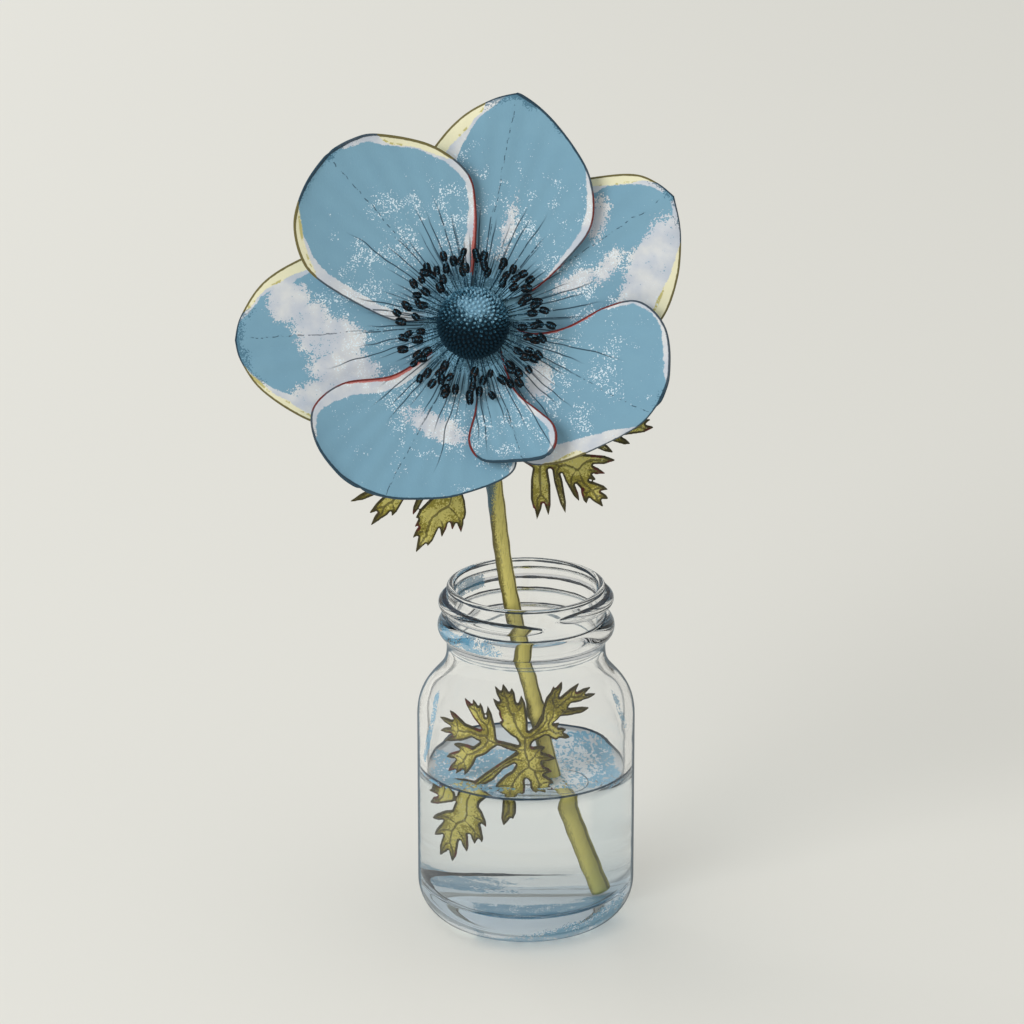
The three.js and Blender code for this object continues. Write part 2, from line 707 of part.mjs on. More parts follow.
const bloom = new THREE.Group();
bloom.position.set(...bloomCentre);
bloom.rotation.x = THREE.MathUtils.degToRad(bloomTilt);
anemone.add(bloom);

for (const petal of petals) {
  addNode(bloom, petal.name, closedGeometry(petalGeometry(petal)), petalBlue);
}
addNode(bloom, 'carpel_head', closedGeometry(domeGeometry()), domeBlue);
addNode(bloom, 'stamens', geometryOf(stamensBody()), antherNavy);

export default anemone;
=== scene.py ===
# Looks of the blue anemone in its glass jar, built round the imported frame.
# Lengths in the tables are millimetres, Blender's own lengths are metres, +Z up.

import math
import random

import bmesh
import bpy
import numpy as np
from bpy.props import FloatProperty, FloatVectorProperty, IntProperty, PointerProperty
from mathutils import Matrix, Vector, kdtree


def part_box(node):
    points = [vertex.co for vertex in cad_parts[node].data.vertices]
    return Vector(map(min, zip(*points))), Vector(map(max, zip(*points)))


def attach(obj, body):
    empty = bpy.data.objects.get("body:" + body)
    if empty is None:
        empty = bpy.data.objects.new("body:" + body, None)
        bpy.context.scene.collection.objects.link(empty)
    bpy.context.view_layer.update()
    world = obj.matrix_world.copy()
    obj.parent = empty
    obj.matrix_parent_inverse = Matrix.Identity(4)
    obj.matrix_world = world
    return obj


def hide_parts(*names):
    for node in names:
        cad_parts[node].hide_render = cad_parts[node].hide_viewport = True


bl_info = {
    "name": "Anemone in a jar",
    "version": (1, 0, 0),
    "blender": (4, 5, 0),
    "location": "View3D > Sidebar > Anemone",
    "description": "Builds an anemone flower in a glass jar of water",
    "category": "Add Mesh",
}

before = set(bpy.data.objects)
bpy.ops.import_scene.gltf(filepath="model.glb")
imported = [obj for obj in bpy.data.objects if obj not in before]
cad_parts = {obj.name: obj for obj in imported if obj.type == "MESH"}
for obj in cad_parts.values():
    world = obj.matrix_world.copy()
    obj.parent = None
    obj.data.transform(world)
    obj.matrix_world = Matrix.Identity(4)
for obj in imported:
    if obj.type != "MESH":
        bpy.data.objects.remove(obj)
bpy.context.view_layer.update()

MM = 0.001
BODY = "root"
JAR_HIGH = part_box("jar")[1]
WATER_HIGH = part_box("water")[1]
GOLDEN_ANGLE = math.pi * (3 - math.sqrt(5))

# What a field says of a place well away from its line or band

FAR = 4.0

# How finely the turned pieces are cut round their axes

STEPS_ROUND = {"jar": 160, "water": 128, "dome": 48, "collar": 64}


# The jar, from its hollow underside up to the thread. Each end of the thread thins to its tip.

GLASS_WALL = 1.9
PUNT = {"rise": 0.5, "radius": 11, "rim": 12.6}
FOOT_RADIUS = 14.6
HEEL_HEIGHT = 8.4
FLOOR_HEIGHT = 6.0
FLOOR_DIP = 0.3
SHOULDER = (44.6, 59.5)
SHOULDER_EASE = (9.0, 6.8)
SHOULDER_STEPS = 22
NECK_RADIUS = 16.4
MOUTH_RADIUS = 14.8
LIP_ROUND = 0.7
BEAD = {"radius": 18.3, "height": 4.2, "middle": 64.5}
THREAD = {
    "turns": (-66.0, 282.0), "heights": (70.8, 69.1), "depth": 1.7,
    "half": 1.25, "fade": 26.0, "tip": 0.12, "line": 0.92,
}

# Radius, height and strength of the fine dark lines painted as shade in the glass at its creases, in
# place of the dark edges that refraction gives, from the lip down

GLASS_LINES = [
    (16.3, 73.0, 1.0),
    (14.9, 73.0, 1.0),
    (16.4, 66.7, 1.0),
    (17.2, 66.1, 0.6),
    (17.6, 62.9, 1.0),
    (16.5, 60.4, 0.6),
    (14.8, 60.8, 0.5),
    (14.8, 66.4, 0.4),
    (12.8, 0.0, 0.7),
    (16.8, 0.5, 0.9),
    (19.2, 1.9, 0.8),
]

# The painted shade line round the floor inside: its radius, and the heights that count as floor

FLOOR_LINE = 15.3
FLOOR_BAND = (5.6, 7.5)

# The stem's route, and the receptacle as height along the bloom's axis and radius.
# The receptacle takes the place of the route's last few steps.

STEM_RADIUS = 1.7
STEM_UNEVEN = {"share": 0.04, "waves": (0.9, 0.23)}
STEM_STEPS = 170
STEM_OVERRUN = 3
STEM_SIDES = 40
STEM_ROUTE = [
    (12.2, -1.9, 6.9),
    (5.5, -6.7, 33.5),
    (2.3, -9.1, 47.9),
    (-0.4, -10.9, 60.8),
    (-2.9, -12.3, 73.4),
    (-4.6, -14.0, 83.7),
    (-6.4, -16.3, 100.0),
    (-8.4, -18.3, 115.0),
    (-9.9, -18.2, 127.0),
    (-10.4, -17.9, 133.4),
    (-10.5, -20.5, 136.1),
    (-10.5, -23.5, 137.1),
]
RECEPTACLE = [
    (-3.2, 1.9),
    (-2.0, 2.8),
    (-1.0, 4.6),
    (-0.3, 5.7),
    (0.05, 5.6),
    (0.25, 4.5),
    (3.6, 4.5),
    (4.2, 4.2),
    (4.4, 3.6),
]

# Height, half length and growth of the swellings where leaves join the stem

STEM_NODES = [(48.6, 1.3, 0.55), (113.7, 1.7, 1.0)]

# The water: where the stem dips in, how its surface is drawn up, and how far it runs into the glass

STEM_DIP = STEM_ROUTE[1][:2]
MENISCUS = {"height": 0.9, "reach": 1.1, "stem_height": 0.55, "stem_reach": 0.9}
WATER_OVERLAP = 0.04
RIPPLE = {"middle": (7.4, -9.5), "squash": 0.8, "radius": 5.2}

# The divided leaves. The bracts face one way each, and the stem leaf curves to follow the glass.

LEAF_VOXEL = 0.19
RIM_FACING = 0.62
RIB = {"crease": 0.1, "starts": 0.25, "eases": 0.3}
LEAF_HUG = 0.0225
BRACTS = {
    "bract_left": Vector((-0.25, 1.0, -0.1)),
    "bract_right": Vector((0.12, 1.0, -0.1)),
    "bract_back": Vector((0.0, 0.25, 0.97)),
}

# Teeth of the stem leaf that are drawn up to a height: their span in X, the height, and the share left

LEAF_TUCKS = [((-6.2, -5.0), 30.4), ((-1.5, -0.2), 30.3)]
TUCK_LEFT = 0.25

# The bloom stands on its centre with its axis leant towards the viewer

BLOOM_CENTRE = Vector((-10.5, -25.0, 137.5))
BLOOM_TILT = math.radians(72.5)
BLOOM = Matrix.Translation(BLOOM_CENTRE) @ Matrix.Rotation(BLOOM_TILT, 4, "X")

PETAL_ROOT = 4.9
PETAL_ROOT_WIDTH = 7.4
PETAL_FRONT = 0.7
LEVEL_STEP = 1.15
BOWL_REACH = 45.0
EDGE_CURL = 1.3
CURL_REACH = 20.0
FLUTE = {"height": 0.1, "degrees": 7.5}
RUFFLE = {"height": 0.3, "waves": 0.32}
VEIN = {"shortest": 13.0, "starts": (8.5, 11.0)}
SIDE_POINTS = 241
PETAL_GRID = {"across": 46, "along": 60}

# Each petal's outline is points of reach from the axis and offset, which is above zero on its left. Its
# turn is in degrees, its level counts from the back, its bowl is how far it has risen at the bowl's
# reach, and its curl sends each side edge forwards or back. Margins and rose edges are bands that follow
# one side, given as reach and width. Patches are ovals: reach, offset, half sizes, turn.

PETALS = {
    "petal_upper_left": {
        "turn": 131, "level": 2, "bowl": 9, "curl": (1, 1), "tip": (43.3, -0.5),
        "left": [(9.5, 10.6), (16.3, 14.2), (25.6, 17.2), (31.2, 17.2), (37.6, 13.6), (41.6, 7)],
        "right": [(9.9, -9.1), (16.5, -15.2), (22.8, -18.5), (31.6, -16.6), (39.8, -10.2), (42.3, -5.6)],
        "pale": [
            ("left", [(5, 1.9), (12, 1.8), (20, 2.1), (28, 2.4), (34, 2.2), (38, 0.6), (40, -1)]),
            ("right", [
                (8, 2.3), (14, 2), (18, 1.3), (24, 1.6), (34, 1.9), (40, 1.9), (42.8, 1), (43.2, -1),
            ]),
        ],
        "cream": [
            ("left", [(25, -1), (28, 1.1), (33, 1.7), (38, 1.3), (40, 0.2), (41, -1)]),
            ("right", [(25, -1), (28, 1.1), (32, 1.5), (38, 1.7), (39.5, 0.8), (40.5, -1)]),
        ],
        "rose": [("right", [(7, 0.9), (13, 1), (17, 0.6), (21.5, 0.5), (24, -0.5)])],
        "patches": [],
    },
    "petal_top": {
        "turn": 79, "level": 1, "bowl": 7.5, "curl": (-1, 1), "tip": (45.7, 0.1),
        "left": [(8.6, 9.4), (14.5, 14.4), (23.5, 17.6), (32.7, 14), (39.3, 9.9), (43.7, 4.6)],
        "right": [(8.3, -10.2), (16.2, -16), (23.5, -19.2), (31.7, -17.3), (37.8, -12.4), (43, -5.9)],
        "pale": [
            ("left", [(18, 2), (26, 5), (32, 5), (36, 4), (40, 3), (44, 1), (45.5, -0.5)]),
            ("right", [(10, 0.3), (16, 1.3), (21, 1.9), (26, 1.4), (32, 0.9), (36, -0.5)]),
        ],
        "cream": [("left", [(22, -1), (27, 2.6), (34, 2.6), (39, 2.6), (42, 1.5), (43.5, -1)])],
        "rose": [
            ("right", [(8, 0.5), (13, 0.5), (16, -0.2), (20, 0.1), (24, 0.35), (29, 0.3), (31, -0.5)]),
        ],
        "patches": [(19.6, -3.2, 6.5, 1.5, -4)],
    },
    "petal_upper_right": {
        "turn": 33, "level": 0, "bowl": 6, "curl": (-1, -1), "tip": (46.5, -0.6),
        "left": [(8.6, 8.8), (15, 14), (24, 16), (35, 11.4), (42.3, 7.4), (45.2, 3.5)],
        "right": [(9, -9.4), (15, -15.4), (23, -20), (31, -19.9), (38.4, -14.6), (43.8, -7.4)],
        "pale": [
            ("left", [(20, 4), (30, 4.4), (34, 3.4), (38, 2.2), (43, 2), (46, 1.2)]),
            ("right", [(22, 0), (27, 3.4), (31, 4.6), (36, 4.2), (40, 3), (44, 1.8), (46.3, 1)]),
        ],
        "cream": [
            ("left", [(28, 1.2), (34, 1.5), (38, 2.2), (42, 1.9), (45, 0.4), (46, -1)]),
            ("right", [(26, 1.8), (31, 2.6), (36, 2.4), (40, 1.6), (43, 0.3), (44, -1)]),
        ],
        "rose": [],
        "patches": [
            (35, -9.8, 12, 4.6, 34), (31.5, 3.8, 4.8, 2.2, 44),
            (21.5, -4.2, 5.6, 2, -6), (28, -5.2, 4.6, 1.8, 24),
        ],
    },
    "petal_lower_right": {
        "turn": -27, "level": 1, "bowl": 7.5, "curl": (1, -1), "tip": (39.5, 2.2),
        "left": [(10.5, 3.2), (16.5, 7.5), (21.6, 14.6), (27.1, 18.6), (34, 16.2), (38.7, 8.5)],
        "right": [(8.4, -8.6), (14, -15), (20.8, -19.8), (27.2, -17.2), (33.2, -10.5), (38.2, -3.2)],
        "pale": [
            ("left", [(18, -0.2), (22, 0.7), (27, 1.1), (32, 0.6), (36, 1.1), (38.6, 1.3), (39.4, 0)]),
            ("right", [
                (12, 2), (18, 3.6), (22, 4.2), (27, 4), (31, 3.4), (35, 2.2), (38, 0.6), (39, -1),
            ]),
        ],
        "cream": [("right", [(23, -1), (25, 0.7), (27, 0.6), (29, 1.2), (30.5, 1.4), (32, -0.5)])],
        "rose": [("left", [(8, 0.45), (14, 0.55), (19, 0.6), (23, 0.4), (26, -0.5)])],
        "patches": [(16.8, -4.4, 2.9, 4.4, 24)],
    },
    "petal_bottom": {
        "turn": -70, "level": 3, "bowl": 11, "curl": (1, 1), "tip": (29.2, 4.6),
        "left": [(10.4, 3), (15.6, 3.4), (20.4, 6.2), (23.6, 7.9), (26.4, 7.7), (28.3, 6.4)],
        "right": [(12.4, -4), (16.3, -5.5), (21.5, -8.8), (25.9, -7.3), (28.2, -1), (29.1, 2.6)],
        "pale": [("left", [(15, 0.4), (18, 1), (22, 1.5), (27, 1.5), (29, 0.4)])],
        "cream": [],
        "rose": [
            ("left", [(7, 0.5), (14, 0.5), (20, 0.45), (25, 0.45), (28, 0.3), (29, -0.5)]),
            ("right", [(13, -0.2), (16, 0.3), (20, 0.45), (24, 0.4), (26, -0.5)]),
        ],
        "patches": [],
    },
    "petal_lower_left": {
        "turn": -117, "level": 2, "bowl": 9, "curl": (0, 1), "tip": (38.7, -5),
        "left": [(8.6, 8.8), (15, 15.4), (22.1, 20.3), (30.9, 13.3), (35.5, 6.2), (38, 0.4)],
        "right": [(9, -5), (16.4, -9.6), (22.1, -17.5), (29, -20.4), (34.6, -16.8), (38, -10.2)],
        "pale": [
            ("right", [(9, 1.4), (15, 2.4), (20, 3), (24, 2.8), (28, 1.8), (32, 1), (36, -0.5)]),
            ("left", [(18, 0.4), (22, 0.7), (26, -0.5)]),
        ],
        "cream": [],
        "rose": [
            ("right", [
                (8, 0.6), (13, 0.85), (17, 1), (21, 0.7), (24, -0.1), (27, 0.5), (29, 0.3), (31, -0.5),
            ]),
        ],
        "patches": [(21.4, 2.6, 2.8, 7.6, 4)],
    },
    "petal_left": {
        "turn": 184, "level": 0, "bowl": 6, "curl": (-1, -1), "tip": (46.8, 0.1),
        "left": [(8.6, 8.6), (15.4, 14), (25, 18.6), (32.9, 17.3), (42.1, 10.7), (46, 4.4)],
        "right": [(8.6, -8.6), (15.4, -13.6), (25, -17), (32.6, -15.2), (40.6, -10.9), (45.4, -4.6)],
        "pale": [
            ("left", [(18, 3), (26, 5.4), (32, 5), (37, 3.2), (42, 1.6), (45, 0.6), (46.4, -0.5)]),
            ("right", [(27, -1), (31, 3.2), (37, 4), (41, 2.4), (45, 1), (46.4, 0.2)]),
        ],
        "cream": [
            ("left", [(28, 0.5), (32, 1), (38, 1.6), (43, 1), (45.6, 0.3), (46.4, -1)]),
            ("right", [(26, -1), (29, 2.8), (35, 2.6), (40, 1.8), (44, 1), (45.8, -0.5)]),
        ],
        "rose": [],
        "patches": [
            (36, -6.8, 4.6, 4.6, 0), (32, -3, 4.2, 3.8, 40), (28, 1, 7.4, 4.6, -6),
            (26, 7.4, 7.6, 4.6, -10), (31, 12, 5.4, 3.6, 0),
        ],
    },
}

# The dome, how far down it the carpels reach where 2 is all the way, and the lit place on its brow

DOME = {
    "radius": 7.06, "middle": 8.5, "rise": 5.0, "undercut": 2.4,
    "foot": 2.9, "bottom": 4.7, "inset_rise": 0.6,
}
CORE = {"inset": 0.5, "start_degrees": 150, "steps": 24}
CARPEL = {"radius": 0.44, "tip": 0.13, "tip_from": 0.3, "seat": 0.55, "stand": 0.25, "lean": 0.14}
CARPEL_COVER = 1.42
BROW = {"middle": Vector((0.6, 3.3)), "half_sizes": (5.0, 3.7), "level": 7.5, "fall": 0.35}

# The collar as radius and height, and the stamens. The anthers lie between two reaches from the axis.

COLLAR = [(3.2, 4.7), (5.0, 4.7), (5.2, 5.1), (4.8, 6.0), (3.2, 6.0)]
FILAMENT_FOOT = (4.3, 5.3)
FILAMENT_RADII = [0.18, 0.15, 0.13, 0.12, 0.12, 0.11, 0.11]
ANTHER = (0.74, 0.56, 1.32)
ANTHER_RING = (8.9, 14.6)
TOP_DRAWN_IN = 0.14
ANTHER_LIFT = {"least": 7.3, "spread": 1.6, "fall": 0.6}

# The stage. The floor and the lights are given in metres.

CAMERA_PLACE = Vector((-2.9, -994.0, 443.0))
FLOOR_HALF = 6.0
LIGHT_TARGET = Vector((0, 0, 0.09))
LIGHTS = {
    "key": {"place": (-1.15, -1.4, 1.15), "size": 1.1, "watts": 23},
    "fill": {"place": (1.6, -1.3, 1.0), "size": 1.6, "watts": 0.5},
    "back": {"place": (-1.2, 1.1, 1.0), "size": 1.6, "watts": 14.5},
}
SKY_STRENGTH = 0.65


def srgb(red, green, blue):
    """A colour given as eight-bit values, as the linear values that Blender works in."""
    linear = []
    for value in (red, green, blue):
        share = value / 255
        linear.append(share / 12.92 if share <= 0.04045 else ((share + 0.055) / 1.055) ** 2.4)
    return tuple(linear)


# Colours that the finishes mix into the main ones

# The glass: painted shade at its lines and edges, a painted blue reflection, and painted light on its
# pale base
GLASS_EDGE_SHADE = srgb(26, 40, 56)
GLASS_REFLECTION_BLUE = srgb(92, 150, 180)
GLASS_PAINTED_LIGHT = srgb(228, 240, 247)
# The water: a painted shade line, and the pale part of its painted reflection
WATER_SHADE_LINE = srgb(28, 62, 84)
WATER_PALE_REFLECTION = srgb(236, 243, 248)
WATER_SIDE = srgb(190, 210, 220)
# The stem: painted light, as its lit green and the paler green inside the jar and the water
SUNLIT_STEM = srgb(232, 219, 118)
STEM_PAINTED_LIGHT = srgb(236, 222, 122)
STEM_TOP_BLUE = srgb(58, 98, 120)
GREEN_FLECK = srgb(226, 222, 170)
SUNLIT_LEAF = srgb(230, 216, 104)
LIFTED_LEAF = srgb(186, 171, 50)
LEAF_INK = srgb(48, 41, 12)
LEAF_TIPS = srgb(92, 22, 18)
PETAL_SHADE = srgb(113, 154, 177)
PETAL_MIST = srgb(214, 216, 217)
PETAL_OLIVE = srgb(183, 174, 104)
PETAL_FLECK = srgb(222, 236, 244)
# Painted light at the root of the petals' fronts
PETAL_ROOT_LIGHT = srgb(158, 216, 245)
PETAL_BACK = srgb(132, 170, 187)
PETAL_BACK_HEART = srgb(138, 164, 160)
DUSKY_BLUE = srgb(62, 104, 126)
CREAM_INK = srgb(84, 74, 8)
ROSE_INK = srgb(98, 20, 16)
# Painted shade in the gaps between the carpels
CARPEL_GAP_SHADE = srgb(7, 20, 28)
CARPEL_BLUES = [srgb(18, 44, 58), srgb(38, 76, 95), srgb(72, 120, 144), srgb(142, 187, 209)]
FILAMENT_DARK = srgb(20, 54, 72)
FILAMENT_PALE = srgb(118, 164, 188)
ANTHER_DARK = srgb(5, 16, 22)
ANTHER_RUST = srgb(66, 50, 42)
FLOOR_SHADE = srgb(222, 221, 216)
SKY = srgb(236, 236, 233)


# Sizes and colours that a user would change


class JarSettings(bpy.types.PropertyGroup):
    """Sizes and colours of the glass"""

    height: FloatProperty(
        name="Height", description="Height of the jar", default=JAR_HIGH.z, unit="LENGTH"
    )
    radius: FloatProperty(
        name="Radius", description="Radius of the jar's body", default=JAR_HIGH.x, unit="LENGTH"
    )
    wall: FloatProperty(
        name="Wall", description="Thickness of the glass", default=GLASS_WALL * MM, unit="LENGTH"
    )
    tint: FloatVectorProperty(
        name="Glass", description="Colour of the clear glass", subtype="COLOR",
        default=(0.99, 0.995, 0.995),
    )
    # Painted shade: the dark colour given to the glass where it is seen edge on
    edge: FloatVectorProperty(
        name="Edge", description="Colour of the glass seen edge on", subtype="COLOR",
        default=srgb(26, 26, 28),
    )


class WaterSettings(bpy.types.PropertyGroup):
    """Level and colours of the water"""

    level: FloatProperty(
        name="Level", description="Height of the water's surface", default=WATER_HIGH.z, unit="LENGTH"
    )
    tint: FloatVectorProperty(
        name="Water", description="Colour of the water", subtype="COLOR", default=(0.91, 0.945, 0.96)
    )
    # Colour of the painted blue reflection on the water's surface
    blue_reflection: FloatVectorProperty(
        name="Wash", description="Blue of the sky on the surface", subtype="COLOR",
        default=srgb(126, 184, 214),
    )


class GreenSettings(bpy.types.PropertyGroup):
    """Radius of the stem, and the greens of stem and leaves"""

    stem_radius: FloatProperty(
        name="Stem radius", description="Radius of the stem", default=STEM_RADIUS * MM, unit="LENGTH"
    )
    light: FloatVectorProperty(
        name="Light green", description="Green of the sunny side", subtype="COLOR",
        default=srgb(183, 174, 104),
    )
    middle: FloatVectorProperty(
        name="Middle green", description="Green of the leaves", subtype="COLOR",
        default=srgb(136, 126, 48),
    )
    deep: FloatVectorProperty(
        name="Deep green", description="Green of the veins and edges", subtype="COLOR",
        default=srgb(72, 64, 16),
    )


class BloomSettings(bpy.types.PropertyGroup):
    """Petals, carpels and stamens"""

    thickness: FloatProperty(
        name="Petal thickness", description="Thickness of a petal", default=0.45 * MM, unit="LENGTH"
    )
    blue: FloatVectorProperty(
        name="Blue", description="Blue of the petals", subtype="COLOR", default=srgb(121, 162, 183)
    )
    pale: FloatVectorProperty(
        name="Pale", description="Lavender white of the patches", subtype="COLOR",
        default=srgb(201, 204, 213),
    )
    cream: FloatVectorProperty(
        name="Cream", description="Cream of the margins", subtype="COLOR", default=srgb(229, 225, 192)
    )
    rose: FloatVectorProperty(
        name="Rose", description="Red of the blushed edges", subtype="COLOR", default=srgb(186, 92, 82)
    )
    ink: FloatVectorProperty(
        name="Ink", description="Blue black of veins and rims", subtype="COLOR", default=srgb(24, 50, 66)
    )
    carpels: IntProperty(name="Carpels", description="Tiny carpels on the dome", default=430)
    stamens: IntProperty(name="Stamens", description="Stamens round the dome", default=92)
    seed: IntProperty(name="Seed", description="Seed of every random draw", default=17)


class StageSettings(bpy.types.PropertyGroup):
    """Camera and floor"""

    lens: FloatProperty(name="Lens", description="Focal length in millimetres", default=181.05)
    pitch: FloatProperty(
        name="Pitch", description="How far the camera looks down", subtype="ANGLE",
        default=math.radians(19.6),
    )
    floor: FloatVectorProperty(
        name="Floor", description="Colour of the floor", subtype="COLOR", default=srgb(227, 226, 220)
    )


# Shader maths


class Wire:
    """A value in a material. Sums on it add Math nodes."""

    def __init__(self, finish, socket):
        self.finish = finish
        self.socket = socket

    def _sum(self, operation, first, second=0.0):
        return self.finish.node("Math", {"operation": operation}, {0: first, 1: second})

    def __add__(self, other):
        return self._sum("ADD", self, other)

    def __radd__(self, other):
        return self._sum("ADD", other, self)

    def __sub__(self, other):
        return self._sum("SUBTRACT", self, other)

    def __rsub__(self, other):
        return self._sum("SUBTRACT", other, self)

    def __mul__(self, other):
        return self._sum("MULTIPLY", self, other)

    def __rmul__(self, other):
        return self._sum("MULTIPLY", other, self)

    def __truediv__(self, other):
        return self._sum("DIVIDE", self, other)

    def __abs__(self):
        return self._sum("ABSOLUTE", self)

    def floor(self):
        return self._sum("FLOOR", self)

    def root(self):
        return self._sum("SQRT", self)

    def at_most(self, other):
        return self._sum("MINIMUM", self, other)

    def at_least(self, other):
        return self._sum("MAXIMUM", self, other)

    def ramp(self, low, high):
        """0 below low and 1 above high, eased between them."""
        settings = {"interpolation_type": "SMOOTHSTEP"}
        return self.finish.node("MapRange", settings, {"Value": self, "From Min": low, "From Max": high})

    def fade(self, low, high):
        """1 below low and 0 above high, eased between them."""
        return 1 - self.ramp(low, high)


def distance(across, along):
    """How far away a place is, from its offsets along two axes."""
    return (across * across + along * along).root()


def zone(value, low, high, soft):
    """1 between two limits, with soft ends."""
    return value.ramp(low - soft, low) * value.fade(high, high + soft)


def most(first, *others):
    """The greatest of several values."""
    for other in others:
        first = first.at_least(other)
    return first


class Finish:
    """A material that is put together node by node."""

    def __init__(self, name):
        self.material = bpy.data.materials.new(name)
        self.material.use_nodes = True
        self.tree = self.material.node_tree
        self.tree.nodes.clear()
        place = self.node("TexCoord", output="Object")
        self.place = self.node("Mapping", {}, {"Vector": place, "Scale": (1 / MM, 1 / MM, 1 / MM)})

    def node(self, kind, settings=None, inputs=None, output=0):
        """Adds a node with its settings, then the values or links of its sockets."""
        node = self.tree.nodes.new("ShaderNode" + kind)
        for key, value in (settings or {}).items():
            setattr(node, key, value)
        for key, value in (inputs or {}).items():
            self.feed(node.inputs[key], value)
        return Wire(self, node.outputs[output])

    def feed(self, socket, value):
        """Links a value to a socket, or sets the socket where the value is constant."""
        if isinstance(value, Wire):
            self.tree.links.new(value.socket, socket)
        elif socket.type == "RGBA" and len(value) == 3:
            socket.default_value = (*value, 1.0)
        else:
            socket.default_value = value

    def field(self, name):
        """A value that the mesh carries under a name."""
        return self.node("Attribute", {"attribute_name": name}, output="Fac")

    def split(self, vector):
        """The three values of a vector."""
        parts = self.node("SeparateXYZ", {}, {"Vector": vector})
        return [Wire(self, output) for output in parts.socket.node.outputs]

    def axes(self):
        """The place on the piece in millimetres, as three values."""
        return self.split(self.place)

    def grain(self, scale, detail=2.0, stretch=(1.0, 1.0, 1.0)):
        """Noise about zero, with its scale in grains to a millimetre."""
        place = self.node("Mapping", {}, {"Vector": self.place, "Scale": stretch})
        return self.node("TexNoise", {}, {"Vector": place, "Scale": scale, "Detail": detail}) - 0.5

    def chance(self, cell, salt):
        """A random value for each whole number."""
        return self.node("TexWhiteNoise", {"noise_dimensions": "1D"}, {"W": cell + salt}, "Value")

    def mix(self, share, first, second):
        """Goes from the first colour to the second as the share goes from 0 to 1."""
        return self.node("Mix", {"data_type": "RGBA"}, {0: share, 6: first, 7: second}, 2)

    def coats(self, colour, *coats):
        """Lays coats of colour over one another, each with its share."""
        for share, coat in coats:
            colour = self.mix(share, colour, coat)
        return colour

    def bump(self, height, depth, strength):
        """Relief from a height, with its depth in millimetres."""
        inputs = {"Height": height, "Distance": depth * MM, "Strength": strength}
        return self.node("Bump", {}, inputs, "Normal")

    def surface(self, varying, constants, paint=None, shadow=None):
        """Ends the material in a Principled shader, with matt paint over it where a mask says so.
        A shadow colour lets light through the piece."""
        shader = self.node("BsdfPrincipled", {}, {**varying, **constants}, "BSDF")
        if paint:
            mask, colour = paint
            inputs = {"Base Color": colour, "Roughness": 0.5, "Specular IOR Level": 0.3}
            cover = self.node("BsdfPrincipled", {}, inputs, "BSDF")
            shader = self.node("MixShader", {}, {0: mask, 1: shader, 2: cover})
        if shadow:
            clear = self.node("BsdfTransparent", {}, {"Color": shadow})
            ray = self.node("LightPath", output="Is Shadow Ray")
            shader = self.node("MixShader", {}, {0: ray, 1: shader, 2: clear})
        output = self.tree.nodes.new("ShaderNodeOutputMaterial")
        self.feed(output.inputs["Surface"], shader)
        return self.material


# Curves


def spline(points, ease=0.0, steps=16):
    """Points along a smooth curve through the given ones. Ease 0 is uniform and 0.25 is centripetal."""
    points = [Vector(point) for point in points]
    before = points[0] if ease == 0 else 2 * points[0] - points[1]
    after = points[-1] if ease == 0 else 2 * points[-1] - points[-2]
    chain = [before, *points, after]
    curve = [points[0]]
    for i in range(1, len(chain) - 2):
        p0, p1, p2, p3 = chain[i - 1 : i + 3]
        gaps = [max((b - a).length_squared, 1e-9) ** ease for a, b in ((p0, p1), (p1, p2), (p2, p3))]
        g0, g1, g2 = gaps
        start = ((p1 - p0) / g0 - (p2 - p0) / (g0 + g1) + (p2 - p1) / g1) * g1
        finish = ((p2 - p1) / g1 - (p3 - p1) / (g1 + g2) + (p3 - p2) / g2) * g1
        for step in range(1, steps + 1):
            t = step / steps
            curve.append(
                p1 * (2 * t**3 - 3 * t**2 + 1)
                + start * (t**3 - 2 * t**2 + t)
                + p2 * (3 * t**2 - 2 * t**3)
                + finish * (t**3 - t**2)
            )
    return curve


def spread(curve, count):
    """The same curve as evenly spaced points."""
    lengths = np.array([0.0] + [(b - a).length for a, b in zip(curve, curve[1:])]).cumsum()
    wanted = np.linspace(0, lengths[-1], count)
    columns = [np.interp(wanted, lengths, column) for column in zip(*curve)]
    return [Vector(row) for row in zip(*columns)]


def arc(middle, radii, degrees, steps):
    """Points of a quarter or half oval, as radius and height."""
    turns = [math.radians(degrees[0] + (degrees[1] - degrees[0]) * i / steps) for i in range(steps + 1)]
    return [(middle[0] + radii[0] * math.cos(t), middle[1] + radii[1] * math.sin(t)) for t in turns]


def line(start, end, steps):
    """Points on a straight stretch, without its start."""
    return [
        (start[0] + (end[0] - start[0]) * i / steps, start[1] + (end[1] - start[1]) * i / steps)
        for i in range(1, steps + 1)
    ]


# Mesh building


def add_piece(name, mesh, finish, slot, *nodes):
    """Shows a finished mesh as a piece that stands for the CAD nodes named."""
    piece = bpy.data.objects.new(name, mesh)
    bpy.context.scene.collection.objects.link(piece)
    piece.data.materials.clear()
    piece.data.materials.append(finish)
    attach(piece, BODY)
    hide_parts(*nodes)
    return piece


def to_mesh(bm, name, scale=MM):
    """Ends a bmesh made in millimetres."""
    bmesh.ops.scale(bm, vec=(scale, scale, scale), verts=bm.verts)
    for face in bm.faces:
        face.smooth = True
    mesh = bpy.data.meshes.new(name)
    bm.to_mesh(mesh)
    bm.free()
    return mesh


def write_field(bm, name, values):
    """Gives each vertex its own value under a name, for a finish to read."""
    layer = bm.verts.layers.float.new(name)
    for vert, value in zip(bm.verts, values):
        vert[layer] = value


def stand_at(place, way):
    """The matrix that stands a shape at a place, with its own Z axis along a way."""
    return Matrix.Translation(place) @ way.to_track_quat("Z", "Y").to_matrix().to_4x4()


